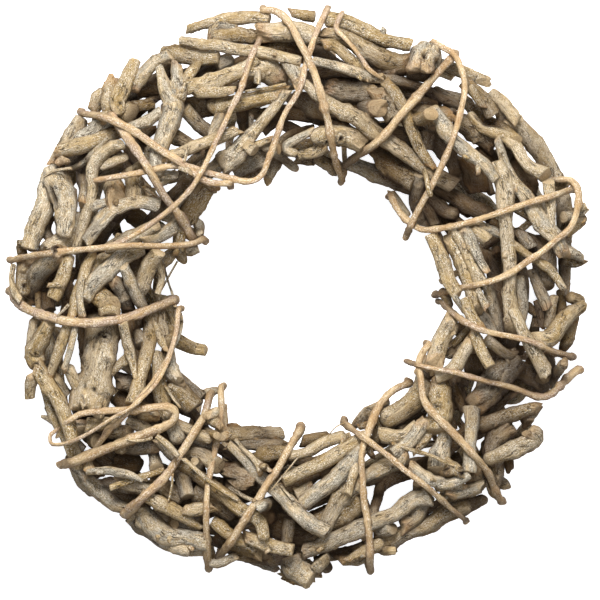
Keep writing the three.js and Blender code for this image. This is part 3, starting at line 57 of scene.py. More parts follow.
# Branches that the front shows, by clock hour. Each is [layer, [x, y, radius], ...], with the
# places that it passes: layer 1 lies just under the vines, and higher layers lie deeper.
BRANCHES = {
  12: [
    [1, [-83, 182, 3], [-60, 178, 4], [-41, 174, 4], [-20, 171, 4], [2, 166, 3.5]],
    [1, [-8, 165, 5.5], [-3, 156, 6], [0, 147, 4]],
    [1.5, [-28, 187, 6], [0, 188, 7.5], [14, 184, 6.5]],
    [2, [-79, 192, 3.5], [-62, 195, 4], [-48, 198, 5.5], [-33, 198, 4.5], [-20, 196, 4]],
    [2, [-60, 181, 5], [-40, 184, 6], [-22, 185, 5], [-8, 192, 2.5]],
    [2, [-63, 182, 3], [-56, 191, 3.4], [-43, 190, 2.6]],
    [3, [-6, 202, 3], [12, 199, 4]],
    [1, [17, 179, 3.5], [25, 179, 4], [35, 171, 4], [46, 160, 3.5]],
    [2, [16, 189, 4], [30, 184, 5], [45, 175, 6], [60, 169, 7], [82, 166, 7]],
    [2, [18, 196, 6], [35, 194, 6], [56, 187, 5.5], [80, 179, 4.5]],
    [1, [10, 166, 3], [38, 159, 4.2], [56, 155, 4], [75, 152, 3.6], [92, 146, 4], [114, 137, 3.5]],
    [1, [4, 151, 3], [20, 138, 4.5], [40, 126, 5.5], [58, 113, 5.5], [95, 88, 5], [110, 79, 6.5]],
    [3, [18, 148, 7], [35, 146, 7], [56, 146, 7]],
    [4, [25, 135, 6], [56, 133, 6]],
    [1, [-7, 146, 3], [-17, 133, 3.8], [-27, 122, 4], [-36, 113, 5], [-46, 101, 7], [-54, 93, 7.5]],
    [1, [6, 121, 2.5], [-5, 115, 3], [-13, 109, 3.5], [-5, 103, 3]],
    [0.7, [-37, 109, 3.5], [-30, 104, 4]],
    [1.5, [-31, 107, 2.5], [-18, 113, 2]],
    [2, [8, 113, 5], [25, 115, 8], [47, 109, 9]],
    [2, [0, 99, 3.5], [12, 101, 4.5], [20, 106, 4]],
    [3, [-24, 108, 4], [-13, 102, 3.4], [-2, 93, 3]],
    [2, [-64, 137, 3], [-56, 136, 6.5], [-40, 139, 5.8], [-8, 144, 4.5]],
    [2, [-53, 130, 4], [-57, 120, 4], [-62, 110, 3]],
    [1.5, [-37, 145, 1], [-8, 150, 1.2]],
    [3, [-27, 166, 2], [-29, 150, 2.5]],
    [3, [-33, 131, 2], [-32, 121, 2]],
    [3, [34, 97, 5], [52, 90, 6], [70, 82, 5], [88, 74, 4]],
    [3, [12, 101, 4], [22, 95, 5], [25, 90, 4]],
    [4, [-30, 178, 6], [-12, 176, 8], [5, 173, 7]],
    [4, [-34, 160, 7], [-20, 157, 8.5], [-8, 151, 6]],
    [4, [-4, 142, 6], [8, 138, 8], [20, 130, 6]],
    [3, [-46, 90, 4.5], [-34, 97, 6.2], [-20, 103, 5]],
    [3, [-14, 98, 3.5], [-20, 91, 4.5], [-23, 84, 3]],
  ],
  1: [
    [1, [61, 154, 3.5], [66, 146, 4.5], [73, 134, 4.5], [80, 118, 4.5], [85, 107, 4.5], [93, 92, 4]],
    [2, [53, 147, 4.5], [60, 138, 5.5], [68, 126, 6]],
    [2, [78, 127, 5], [93, 128, 5]],
    [1, [94, 134, 3.5], [100, 125, 5], [108, 113, 5.5], [120, 103, 5.5], [131, 93, 5], [139, 84, 4]],
    [3, [90, 120, 7], [88, 106, 7]],
    [2, [52, 100, 9], [68, 92, 9], [84, 83, 8]],
    [1, [86, 88, 4], [84, 76, 6], [83, 66, 6], [85, 56, 5]],
    [0.5, [88, 90, 2], [92, 72, 2]],
    [4, [104, 112, 4], [111, 86, 4]],
    [1, [92, 178, 7], [88, 168, 9], [86, 158, 8]],
    [3, [98, 168, 4], [115, 162, 5], [133, 154, 4]],
    [2, [117, 154, 4.5], [127, 143, 5], [137, 130, 5]],
    [2, [120, 150, 3], [130, 134, 2.5]],
    [3, [43, 183, 4], [66, 178, 3]],
    [4, [56, 120, 6], [72, 116, 6.4], [86, 112, 6]],
    [3, [136, 147, 4], [146, 136, 4.6], [153, 124, 4]],
  ],
  2: [
    [1, [120, 128, 3.5], [130, 121, 4], [142, 116, 4.5], [152, 109, 5], [158, 99, 4.5], [174, 87, 5.5]],
    [1, [142, 124, 4.5], [154, 113, 4]],
    [1, [139, 114, 2.5], [150, 87, 3.5], [156, 76, 4.5], [164, 65, 5.5], [173, 52, 6], [188, 31, 4.5]],
    [1, [138, 97, 5], [142, 84, 6.5], [144, 70, 6], [146, 52, 4.5], [147, 10, 4.2], [150, -24, 7]],
    [3, [150, 128, 5], [160, 118, 6], [170, 107, 6.5], [178, 95, 6], [184, 84, 5]],
    [3, [152, 100, 6], [160, 85, 7], [168, 74, 6]],
    [1, [177, 84, 4.5], [177, 72, 4.5], [181, 50, 2]],
    [3, [92, 80, 5], [106, 75, 6], [120, 68, 6.5], [137, 61, 5]],
    [4, [118, 100, 8], [128, 76, 8]],
    [2, [93, 73, 4], [103, 63, 5], [112, 57, 4]],
    [2, [91, 70, 3.5], [98, 52, 3.5]],
    [1, [109, 50, 3.5], [115, 39, 4.5], [121, 27, 3], [128, 17, 2.5]],
    [1, [100, 47, 3.5], [107, 33, 3.7], [113, 20, 4], [118, 8, 4.5]],
    [3, [92, 46, 4], [99, 30, 4.5], [105, 15, 5], [112, 3, 4]],
    [4, [104, 46, 5], [114, 28, 6.2], [121, 8, 6], [124, -8, 5]],
    [1.5, [118, 52, 4.5], [130, 40, 5]],
    [2, [125, 52, 3.5], [140, 46, 3.5]],
    [1.5, [150, 39, 3], [161, 32, 3], [170, 27, 3.5], [179, 21, 3.5], [187, 7, 2.5]],
    [3, [155, 50, 4], [163, 36, 5]],
    [3, [185, 76, 5], [187, 62, 6.2], [187, 30, 5], [188, 0, 3.5]],
    [4, [112, 128, 6], [124, 118, 7], [138, 106, 6]],
    [4, [166, 46, 7], [174, 28, 8], [176, 10, 6]],
    [3, [186, 48, 4], [200, 57, 3.5]],
    [3, [188, 60, 3], [203, 65, 2.6]],
    [2, [183, 38, 4], [192, 32, 4], [200, 29, 3]],
  ],
  3: [
    [1, [119, 5, 4], [124, -8, 4.5], [131, -17, 4.5]],
    [1, [125, 8, 2], [129, 0, 2.3], [132, -6, 2.5]],
    [2, [108, 3, 2], [118, -9, 2.3]],
    [3, [131, 14, 4], [141, -22, 4.4]],
    [2, [155, 17, 3.5], [157, -4, 4.5], [155, -18, 3.5]],
    [1, [150, -6, 4.5], [159, -27, 4.5], [165, -38, 5], [174, -54, 5.5]],
    [2, [163, 22, 3.7], [168, 8, 3.8], [174, -6, 3.8]],
    [2, [179, 3, 3.5], [178, -9, 4], [176, -20, 4]],
    [4, [160, -3, 3], [168, -9, 3]],
    [4, [168, -10, 3.5], [166, -22, 3.5]],
    [1, [199, -3, 5], [187, -13, 6], [177, -24, 7], [163, -27, 6]],
    [2, [189, 4, 4], [199, 0, 4]],
    [3, [193, -12, 4], [189, -28, 5], [186, -34, 4]],
    [2, [106, -8, 6], [101, -22, 6.5], [96, -36, 7], [93, -46, 7]],
    [3, [115, -16, 5], [113, -26, 4]],
    [1, [123, -24, 4.5], [113, -38, 5], [104, -48, 5], [96, -53, 5]],
    [1, [120, -18, 4], [126, -30, 4], [133, -45, 4]],
    [1.5, [131, -22, 4], [143, -32, 4], [151, -33, 4]],
    [1, [156, -43, 8], [145, -50, 10], [134, -60, 10], [126, -71, 7.5], [122, -77, 6.5]],
    [3, [176, -40, 5], [171, -55, 5]],
    [4, [121, -38, 8], [122, -52, 8]],
    [4, [108, -50, 6], [111, -64, 6.4], [114, -78, 6]],
    [4, [148, -46, 6], [164, -54, 7], [177, -61, 5]],
  ],
  4: [
    [1, [122, -76, 5.5], [121, -90, 4.5], [120, -102, 4.2], [118, -120, 4.3]],
    [1.5, [97, -52, 6], [98, -64, 8], [100, -77, 8], [97, -91, 6]],
    [2, [92, -56, 5], [82, -69, 7], [70, -78, 7], [58, -85, 6.5]],
    [1, [170, -74, 4], [158, -78, 5], [145, -83, 5.5], [130, -89, 5.5]],
    [1.5, [152, -64, 2.5], [131, -84, 2.5]],
    [1.5, [160, -91, 5], [166, -96, 6], [155, -102, 6], [143, -107, 5], [130, -113, 5]],
    [4, [152, -90, 7], [138, -104, 8], [130, -112, 7]],
    [3, [170, -74, 3], [158, -86, 5]],
    [3, [146, -108, 5], [142, -120, 7.5], [143, -132, 6]],
    [2, [100, -93, 5], [97, -108, 6], [93, -121, 7]],
    [1, [86, -81, 4], [82, -90, 4.5], [75, -99, 4.5], [65, -107, 4]],
    [2, [92, -88, 3.5], [86, -96, 4], [78, -103, 4]],
    [1, [97, -120, 5], [105, -117, 5.5], [113, -119, 4]],
    [1, [78, -118, 3.5], [90, -127, 4], [105, -131, 4], [120, -125, 3.5]],
    [4, [108, -60, 3], [117, -78, 3]],
  ],
  5: [
    [1, [0, -180, 5], [20, -171, 5], [35, -164, 5.5], [62, -150, 5], [75, -143, 5.5], [90, -138, 6]],
    [1, [88, -139, 6], [79, -151, 7], [70, -161, 6]],
    [1.5, [47, -124, 4.5], [60, -118, 5], [72, -113, 5], [78, -107, 3.5]],
    [4, [63, -122, 3.5], [56, -138, 3.5], [52, -152, 3.5]],
    [2, [82, -128, 4], [83, -138, 5]],
    [3, [118, -143, 5], [104, -150, 6.5], [90, -156, 6], [76, -162, 5.5], [60, -170, 6], [44, -176, 5]],
    [3, [110, -150, 4], [122, -143, 4.5], [132, -137, 4]],
    [3, [56, -172, 4.5], [67, -172, 5.8]],
    [4, [57, -150, 1.2], [78, -141, 1.5]],
    [1, [95, -133, 4], [108, -132, 4.5], [118, -134, 2]],
    [2.5, [105, -140, 4], [130, -134, 4.5]],
    [2, [32, -184, 3], [46, -177, 4.5], [58, -172, 4]],
    [3, [52, -163, 6], [66, -158, 5]],
    [1.5, [56, -94, 6], [70, -94, 5.5], [82, -88, 4]],
    [1, [-14, -126, 4], [5, -117, 4.5], [25, -107, 5], [44, -96, 4.5]],
    [1, [-2, -145, 5], [12, -134, 5.5], [25, -123, 6], [38, -110, 5.5], [43, -104, 4]],
    [1, [12, -168, 4.5], [22, -150, 5.5], [30, -138, 6], [38, -130, 5.5], [42, -122, 4]],
    [1, [31, -136, 3], [38, -116, 3]],
    [2, [-10, -108, 3.5], [5, -106, 3.8], [18, -99, 4.5], [33, -94, 4.5]],
    [3, [2, -99, 4], [12, -97, 4.4], [23, -94, 3.5]],
    [3, [38, -88, 3.5], [50, -80, 5], [64, -72, 4.5]],
    [3, [22, -180, 5], [34, -178, 4.5], [48, -172, 5]],
  ],
  6: [
    [1, [-52, -103, 3.5], [-29, -124, 5], [-18, -135, 4.5], [-8, -143, 5], [0, -151, 5], [17, -163, 5]],
    [0.5, [-46, -95, 1.5], [-38, -105, 2], [-30, -112, 2.5], [-26, -122, 2]],
    [0.5, [-30, -112, 2], [-18, -119, 1.5]],
    [2, [-50, -99, 4], [-30, -100, 4.5], [-12, -101, 4]],
    [3, [-56, -92, 5], [-35, -94, 5.5], [-12, -93, 4.5]],
    [2, [-30, -106, 5], [-20, -107, 5.5], [-6, -106, 4]],
    [4, [-52, -125, 11], [-30, -126, 10]],
    [1, [-84, -112, 3.5], [-72, -123, 4.8], [-58, -134, 5.2], [-45, -142, 5.5], [-27, -153, 4.5],
     [-24, -168, 4]],
    [0.5, [-80, -110, 1.8], [-70, -119, 2], [-56, -131, 1.6], [-42, -139, 1.6]],
    [0.5, [-48, -131, 1.6], [-38, -137, 1.5], [-30, -140, 1.3]],
    [1, [-38, -165, 4], [-20, -171, 4.5], [-3, -174, 4.3]],
    [2, [-40, -173, 3], [-27, -177, 3.5]],
    [3, [-45, -178, 4], [-30, -181, 4], [-15, -184, 4]],
    [2, [-8, -181, 6.5], [-4, -190, 9.5], [8, -197, 8]],
    [2, [10, -184, 8], [17, -188, 7.5]],
    [3, [-5, -153, 4], [-8, -170, 4]],
    [3, [-22, -153, 5], [-10, -148, 5]],
    [0.5, [-13, -128, 1], [-3, -140, 1.2]],
    [2, [-5, -137, 4], [8, -131, 4]],
    [4, [4, -162, 9], [24, -152, 11], [44, -142, 10]],
    [4, [-30, -160, 8], [-10, -163, 9], [12, -172, 7]],
    [4, [-40, -112, 5], [-24, -112, 6.2], [-8, -113, 5]],
    [4, [-86, -108, 6], [-70, -109, 6.4], [-56, -116, 6]],
    [4, [-72, -132, 7], [-58, -140, 8], [-44, -150, 7]],
    [4, [-16, -133, 6], [2, -127, 6.4], [22, -118, 6]],
    [3, [-58, -166, 5], [-42, -173, 5], [-26, -179, 4]],
    [3, [-28, -177, 5], [-16, -180, 5.5], [-6, -180, 5]],
    [2, [-62, -155, 4], [-50, -163, 4.5], [-38, -168, 4]],
  ],
  7: [
    [1, [-101, -97, 2.4], [-93, -105, 2.8], [-84, -113, 3]],
    [1, [-98, -94, 2], [-90, -101, 2.3], [-83, -109, 2]],
    [2, [-83, -85, 3.6], [-72, -92, 4.2], [-58, -98, 4.2]],
    [3, [-82, -93, 3], [-70, -99, 3.2], [-58, -104, 3.5]],
    [3, [-72, -112, 3.2], [-67, -121, 4]],
    [2, [-84, -117, 4.6], [-80, -127, 5.5], [-77, -138, 5]],
    [0.5, [-87, -121, 0.9], [-88, -130, 0.9], [-90, -141, 0.8]],
    [3, [-102, -125, 5], [-90, -135, 6], [-80, -140, 5]],
    [1.5, [-108, -136, 4], [-95, -143, 5], [-84, -149, 5], [-74, -156, 3.5], [-66, -161, 2]],
    [1.5, [-79, -150, 3.5], [-71, -149, 5.5], [-58, -144, 5]],
    [2, [-108, -146, 5.5], [-102, -156, 7.5], [-94, -163, 8], [-85, -167, 7], [-60, -168, 6]],
    [2.5, [-99, -162, 6], [-95, -168, 5]],
    [2, [-83, -174, 4.5], [-74, -174, 5.5], [-60, -173, 6]],
    [2, [-110, -149, 4], [-119, -157, 1.6]],
    [1, [-143, -121, 2.2], [-127, -120, 3], [-113, -122, 3], [-103, -127, 1.5]],
    [1, [-131, -132, 2], [-120, -127, 2.4], [-106, -122, 2.6], [-93, -119, 2.4]],
    [2, [-126, -128, 4], [-112, -131, 4.6], [-98, -135, 4]],
    [3, [-130, -136, 5], [-118, -141, 5], [-104, -145, 5]],
    [2, [-150, -124, 5], [-140, -134, 6], [-128, -143, 5.5], [-117, -149, 4]],
    [2, [-121, -98, 4], [-120, -107, 4.6], [-123, -112, 3]],
    [3, [-130, -101, 5], [-113, -103, 5.5], [-96, -102, 4.5]],
    [4, [-104, -104, 4], [-97, -118, 5]],
    [4, [-128, -112, 7], [-110, -119, 7]],
    [4, [-100, -148, 6], [-84, -156, 8], [-66, -160, 7]],
    [3, [-142, -132, 5.5], [-130, -130, 5.5], [-118, -130, 5]],
    [3, [-120, -154, 4], [-106, -162, 4.5], [-94, -171, 4.5], [-76, -176, 4.5]],
  ],
  8: [
    [1.5, [-138, -8, 11], [-138, -25, 12], [-139, -42, 10], [-141, -55, 10.5], [-144, -66, 13],
     [-146, -78, 12]],
    [1, [-162, -44, 3.8], [-159, -55, 4], [-156, -64, 3.6]],
    [1, [-122, -16, 3.5], [-119, -30, 4], [-118, -38, 4], [-124, -43, 3.5], [-130, -52, 2.4]],
    [1, [-118, -36, 4], [-115, -45, 3], [-113, -55, 1.6]],
    [1.5, [-113, -20, 3.5], [-110, -33, 5]],
    [1, [-103, -6, 4.6], [-104, -25, 5], [-107, -45, 5], [-111, -60, 4.5], [-115, -73, 4]],
    [1, [-101, -16, 2], [-96, -28, 3.4], [-92, -36, 1.8]],
    [2, [-98, -35, 4], [-97, -48, 5], [-98, -60, 5], [-96, -72, 6], [-90, -83, 6]],
    [2, [-92, -35, 5], [-89, -48, 6.5], [-85, -60, 6.5]],
    [3, [-93, -60, 7], [-83, -68, 9], [-72, -76, 8]],
    [0.7, [-93, -60, 0.9], [-88, -67, 0.9], [-82, -75, 0.8]],
    [2.5, [-102, -18, 5], [-88, -28, 5], [-75, -33, 4.5], [-65, -34, 4]],
    [2, [-97, -3, 5], [-98, -14, 5.5], [-97, -26, 5]],
    [1, [-160, -15, 3.2], [-165, -33, 3.5], [-173, -54, 3]],
    [1, [-155, -18, 2.3], [-158, -34, 2.3], [-163, -50, 2.2]],
    [1.5, [-172, -16, 4.5], [-180, -29, 5.5], [-185, -37, 6.5], [-183, -46, 6]],
    [1, [-184, -44, 5.5], [-176, -57, 6], [-167, -70, 6], [-160, -88, 5.5], [-156, -100, 4.5]],
    [2, [-178, -58, 4], [-174, -72, 4.5], [-170, -82, 4.5], [-163, -93, 4.5], [-157, -106, 5],
     [-152, -118, 5.5]],
    [2, [-165, -87, 3.8], [-172, -84, 3], [-180, -82, 1]],
    [2, [-184, -50, 4], [-186, -60, 4], [-186, -69, 3.6]],
    [1.5, [-158, -85, 5.5], [-150, -90, 6]],
    [1.5, [-147, -86, 4.6], [-137, -87, 5], [-124, -87, 4]],
    [2.5, [-140, -93, 5], [-128, -92, 6], [-117, -90, 5]],
    [1.5, [-119, -83, 3.8], [-111, -86, 4.5], [-102, -91, 3.6]],
    [2, [-148, -95, 5], [-141, -100, 5]],
    [2, [-92, -84, 5], [-87, -93, 5.5], [-82, -103, 5]],
    [2, [-144, -111, 4], [-138, -121, 4]],
    [2, [-157, -115, 4], [-146, -124, 4]],
    [3, [-169, -20, 4], [-168, -32, 3.6]],
    [2, [-185, -11, 3.6], [-186, -24, 4], [-191, -41, 2.2]],
    [3, [-128, -56, 6], [-112, -60, 6]],
    [4, [-128, -66, 6], [-118, -74, 6.4]],
    [3, [-112, -78, 7], [-98, -82, 7]],
    [3, [-160, -108, 4], [-156, -121, 4.5], [-148, -132, 4.5], [-138, -137, 4.5]],
    [3, [-155, -108, 5], [-140, -125, 5]],
    [0.5, [-119, -97, 1.2], [-110, -98.5, 1.2], [-101, -96, 1.2]],
  ],
  9: [
    [1, [-108, 35, 5], [-122, 28, 6], [-133, 20, 6], [-143, 10, 6], [-149, 0, 5]],
    [1, [-141, 33, 3], [-148, 24, 3.8], [-153, 8, 4], [-158, -14, 3.5]],
    [1, [-151, 15, 2.4], [-151, 0, 2.4], [-150, -13, 3]],
    [1, [-157, 30, 3.6], [-161, 15, 4.5], [-166, 5, 5.2], [-169, -1, 4.5]],
    [1, [-163, 11, 2], [-174, 10, 1.6]],
    [1, [-159, -3, 1.2], [-167, -11, 1]],
    [1, [-163, 31, 5], [-173, 26, 7], [-182, 20, 7], [-186, 10, 5.5], [-186, 1, 4]],
    [1.5, [-189, 31, 6], [-194, 20, 6], [-196, 12, 5], [-193, 2, 4]],
    [1.5, [-183, 12, 3], [-182, -8, 2]],
    [2, [-186, 39, 3], [-197, 40, 1.6]],
    [1, [-153, 60, 5], [-160, 46, 6.5], [-167, 38, 7], [-175, 33, 5]],
    [2, [-127, 32, 5], [-138, 26, 5], [-147, 17, 4]],
    [2, [-97, 34, 5], [-104, 22, 6], [-110, 10, 6], [-111, 0, 4]],
    [1, [-123, 24, 3.8], [-117, 10, 4.4], [-112, 0, 4.4], [-107, -8, 4]],
    [2, [-130, 16, 3.6], [-126, 8, 5], [-122, 0, 6], [-117, -9, 4.6]],
    [1.5, [-138, -9, 3], [-132, -7, 4.2], [-125, -8, 3]],
    [2, [-142, 6, 6], [-132, -4, 6.5]],
    [3, [-150, 1, 5], [-145, -9, 5]],
    [3, [-177, 4, 5], [-174, -8, 5]],
    [2, [-98, 28, 3], [-95, 16, 2.4], [-98, 4, 2]],
    [3, [-104, 46, 4], [-100, 30, 4]],
    [1.5, [-84, 53, 5], [-95, 46, 5], [-109, 41, 4.5]],
    [4, [-160, 20, 6], [-170, 4, 6.4]],
    [2.5, [-78, 50, 4], [-81, 38, 4.4], [-79, 28, 4]],
    [3, [-86, 36, 3.5], [-76, 35, 3.5], [-70, 37, 3]],
    [4, [-112, 38, 6], [-109, 22, 7], [-114, 6, 6]],
    [3, [-97, -8, 6], [-93, -22, 6.4], [-90, -32, 5]],
    [3, [-85, 27, 0.8], [-91, 16, 0.8], [-96, 7, 0.8]],
    [3, [-94, 24, 0.8], [-91, 12, 0.9], [-87, 0, 0.9], [-86, -10, 0.8]],
    [2, [-86, -4, 1.2], [-82, -13, 1.3], [-84, -26, 1.4], [-90, -38, 1.6]],
  ],
  10: [
    [1, [-171, 103, 4], [-158, 106, 5], [-145, 110, 5.2], [-135, 115, 5.5], [-125, 118, 4.5]],
    [1, [-121, 108, 3.8], [-130, 104, 4.4], [-143, 92, 4.4], [-144, 72, 3.5], [-149, 54, 4],
     [-156, 34, 3.6]],
    [1, [-174, 91, 4.5], [-170, 84, 7], [-166, 74, 8], [-162, 62, 7.5], [-161, 52, 6.5], [-164, 42, 5]],
    [1.5, [-175, 92, 4.5], [-177, 75, 6], [-180, 60, 6], [-184, 47, 6.5], [-188, 34, 6]],
    [1, [-97, 64, 5.4], [-110, 66, 4.6], [-122, 64, 4.6], [-131, 59, 4.5], [-139, 50, 4.6],
     [-149, 39, 3.8]],
    [1, [-100, 55, 4.5], [-112, 50, 5], [-125, 44, 4.5], [-136, 39, 3]],
    [2, [-130, 127, 7], [-143, 119, 7], [-153, 112, 6], [-163, 102, 5]],
    [2, [-153, 128, 4.6], [-158, 116, 6], [-166, 104, 6], [-172, 94, 4]],
    [1, [-132, 113, 1.2], [-142, 103, 2.2], [-150, 96, 2.2], [-160, 91, 1.8]],
    [1, [-158, 92, 1.2], [-170, 90, 1.1], [-178, 86, 0.8]],
    [1.5, [-119, 100, 3.5], [-129, 96, 4], [-138, 92, 3.6]],
    [2, [-162, 98, 5], [-169, 95, 3]],
    [2, [-117, 93, 5], [-113, 80, 6.5], [-112, 67, 6]],
    [2, [-107, 76, 3.4], [-99, 74, 3]],
    [2, [-98, 88, 4], [-85, 86, 3.2]],
    [2, [-98, 82, 3.6], [-86, 88, 3.6]],
    [3, [-173, 60, 4], [-177, 50, 4], [-172, 42, 3.6]],
    [3, [-152, 97, 5], [-150, 82, 5], [-150, 66, 4.6]],
    [2.5, [-141, 63, 4], [-132, 66, 3.4]],
    [3, [-129, 56, 3], [-127, 43, 3]],
    [3, [-66, 82, 6], [-75, 68, 7.5], [-80, 54, 6]],
    [4, [-132, 82, 8], [-126, 66, 8]],
  ],
  11: [
    [1, [-100, 86, 5], [-97, 104, 6], [-92, 120, 6.5], [-88, 133, 7.5], [-85, 146, 7]],
    [1, [-88, 136, 6], [-94, 148, 4.8], [-98, 163, 2.2]],
    [1, [-85, 142, 6], [-85, 156, 4.6], [-85, 165, 4]],
    [1, [-84, 140, 5.4], [-77, 154, 4.4], [-72, 162, 4], [-68, 167, 1.8]],
    [1, [-115, 168, 3.8], [-119, 155, 5], [-123, 145, 6], [-126, 138, 5.6], [-124, 129, 4]],
    [1.5, [-90, 172, 3.6], [-102, 163, 4.5], [-112, 153, 5], [-117, 146, 4]],
    [2, [-131, 151, 7], [-130, 136, 8.5], [-117, 130, 7]],
    [2, [-98, 147, 5], [-114, 145, 5.2]],
    [2, [-93, 166, 4], [-95, 157, 4.6], [-107, 150, 4]],
    [1, [-78, 149, 5], [-62, 151, 6.5], [-48, 156, 5.5], [-38, 161, 5], [-29, 169, 3.5]],
    [1, [-42, 160, 4.4], [-33, 160, 4], [-26, 158, 2.8]],
    [1.5, [-73, 146, 5], [-58, 146, 4], [-44, 147, 2.8]],
    [2, [-96, 173, 4], [-85, 172, 6], [-70, 170, 5.5], [-55, 169, 4]],
    [2.5, [-57, 163, 4.6], [-44, 168, 4.6]],
    [1, [-41, 117, 4], [-57, 110, 5], [-75, 104, 4.5], [-92, 96, 4]],
    [1.5, [-122, 121, 3.2], [-110, 125, 4.6], [-97, 131, 4]],
    [3, [-116, 135, 4], [-100, 138, 3.4]],
    [2, [-104, 106, 5], [-102, 93, 5]],
    [0.5, [-76, 108, 1], [-79, 96, 1]],
    [0.7, [-83, 92, 1.6], [-74, 89, 2.4]],
    [4, [-80, 134, 5], [-68, 122, 5], [-58, 111, 4.4]],
    [3, [-92, 117, 5], [-80, 111, 4.4], [-68, 107, 3.4]],
    [3, [-84, 82, 5], [-70, 79, 5], [-58, 80, 4.4]],
    [3, [-146, 133, 5], [-138, 142, 5.8], [-127, 150, 5.8]],
    [4, [-80, 138, 5.8], [-66, 136, 7], [-52, 134, 6]],
  ],
}

# Forks, by clock hour: the places in the list above of an arm and of the stem it grows from
FORKS = {
    8: [[3, 2], [18, 17]],
    11: [[1, 0], [2, 0], [3, 0], [10, 9], [11, 9]],
}


def layer_height(x, y, radius, layer):
    """Height of the middle of a branch of this radius, lying in this layer."""
    offset = (math.hypot(x, y) - RING_RADIUS) / RING_HALF_WIDTH
    arch = math.sqrt(max(0, 1 - offset * offset))
    if layer < 0:
        return RIM_HEIGHT - BELLY * arch - LAYER * (layer + 1) + radius
    return RIM_HEIGHT + CROWN * arch - LAYER * (layer - 1) - radius


seed = 1778
SEED_STEP = 16807
SEED_TURN = 2147483647


def draw():
    """The next of a row of seeded chance numbers from 0 to 1."""
    global seed
    seed = (seed * SEED_STEP) % SEED_TURN
    return seed / SEED_TURN


# Branches hidden at the back lie along the ring a little askew, and are bowed with it. Where
# a range is given as two numbers, the second is how much chance may add to the first.
HOUR = 30
BACK_INNER = 100
BACK_BREADTH = 88
BACK_REACH = (24, 26)
BACK_ASKEW = 1.1
BACK_RADIUS = (3.2, 3)
BACK_DEPTH = (1, 1.4)
BACK_BOW = 2.4
BACK_TAPER = (0.8, 1.1, 0.85)


def back_branches(hour, count):
    """Branches at the back of this hour, in the form of the list above."""
    made = []
    for k in range(count):
        angle = (90 - HOUR * hour + HOUR * (draw() - 0.5)) * math.pi / 180
        distance = BACK_INNER + BACK_BREADTH * (k + draw()) / count
        half = BACK_REACH[0] + BACK_REACH[1] * draw()
        turned = angle + math.pi / 2 + BACK_ASKEW * (draw() - 0.5)
        radius = BACK_RADIUS[0] + BACK_RADIUS[1] * draw()
        layer = -BACK_DEPTH[0] - BACK_DEPTH[1] * draw()
        bow = half * half / (BACK_BOW * distance)
        branch = [layer]
        for run, out, share in zip((-half, 0, half), (0, bow, 0), BACK_TAPER):
            branch.append([
                (distance + out) * math.cos(angle) + run * math.cos(turned),
                (distance + out) * math.sin(angle) + run * math.sin(turned),
                radius * share,
            ])
        made.append(branch)
    return made


def on_curve(knots, t):
    """The points at t, from 0 to 1, on the smooth line through the knots."""
    last = len(knots) - 1
    beyond = np.vstack([2 * knots[0] - knots[1], knots, 2 * knots[-1] - knots[-2]])
    k = np.minimum((np.asarray(t) * last).astype(int), last - 1)
    w = (np.asarray(t) * last - k)[..., None]
    before, here, there, after = (beyond[k + step] for step in range(4))
    leave = 0.5 * (there - before)
    arrive = 0.5 * (after - here)
    return (
        here + leave * w
        + (-3 * here + 3 * there - 2 * leave - arrive) * w * w
        + (2 * here - 2 * there + leave + arrive) * w * w * w
    )


def between(values, t):
    """The value at t, from 0 to 1, along evenly spaced values."""
    place = t * (len(values) - 1)
    before = min(int(place), len(values) - 2)
    return values[before] + (values[before + 1] - values[before]) * (place - before)


# Branches feel each other by beads along at most three straight stretches, or along one where
# they lie as deep as this layer. The beads stop a radius short of a branch's tips.
SAMPLES = 24
DEEPEST = 3
MOST_STRETCHES = 3
LOG_STRETCHES = 1
LONGEST_TIP = 0.3


def make_stick(hour, layer, places):
    """A branch by its places: each bead knows how far along it is, from -1 to 1."""
    knots = np.array([(x, y, layer_height(x, y, r, layer)) for x, y, r in places])
    radii = [place[2] for place in places]
    most = MOST_STRETCHES if layer < DEEPEST else LOG_STRETCHES
    stretches = min(most, len(places) - 1)
    path = on_curve(knots, np.arange(stretches + 1) / stretches)
    length = sum(math.dist(path[k][:2], path[k + 1][:2]) for k in range(stretches))
    start = min(LONGEST_TIP, radii[0] / length)
    finish = 1 - min(LONGEST_TIP, radii[-1] / length)
    line = []
    for k in range(SAMPLES + 1):
        t = start + (finish - start) * k / SAMPLES
        x, y, z = between(path, t)
        r = between([between(radii, i / stretches) for i in range(stretches + 1)], t)
        line.append(SimpleNamespace(x=float(x), y=float(y), z=float(z), r=r, u=2 * t - 1))
    return SimpleNamespace(
        hour=hour, layer=layer, knots=knots, radii=radii, path=path, line=line,
        lift=0, tilt=0, give=1, stem=None, group=None, slid=np.zeros(3),
    )


def height_at(stick, bead):
    return bead.z + stick.lift + stick.tilt * bead.u


# Branches with a larger radius than the thinnest are bunched, if they don't lie deep, and so
# are deep logs. The others fill in around them.
THINNEST = 2.8
LOG = 6.4
BACK_BUNCHED = 2

sticks = []
logs = []
fillers = []
for hour in range(1, 13):
    in_hour = []
    for layer, *places in BRANCHES[hour] + back_branches(hour, BACK_BUNCHED):
        stick = make_stick(hour, layer, places)
        thickest = max(stick.radii)
        if layer < DEEPEST and thickest > THINNEST:
            sticks.append(stick)
        elif thickest > LOG:
            logs.append(stick)
        else:
            fillers.append(stick)
        in_hour.append(stick)
    for arm, stem in FORKS.get(hour, []):
        in_hour[arm].stem = in_hour[stem]


# How branches lie to each other: clear, fused, resting or grown together. Their middles
# are this share of both radii apart, less the sink.
CLEARANCE = 0.3
CLEAR = SimpleNamespace(share=1.08, sink=-CLEARANCE)
FUSED = SimpleNamespace(share=0.88, sink=0.8, size_cost=0.25)
RESTING = SimpleNamespace(share=0.95, sink=0, size_cost=0)
GROWN = SimpleNamespace(share=0, sink=0)
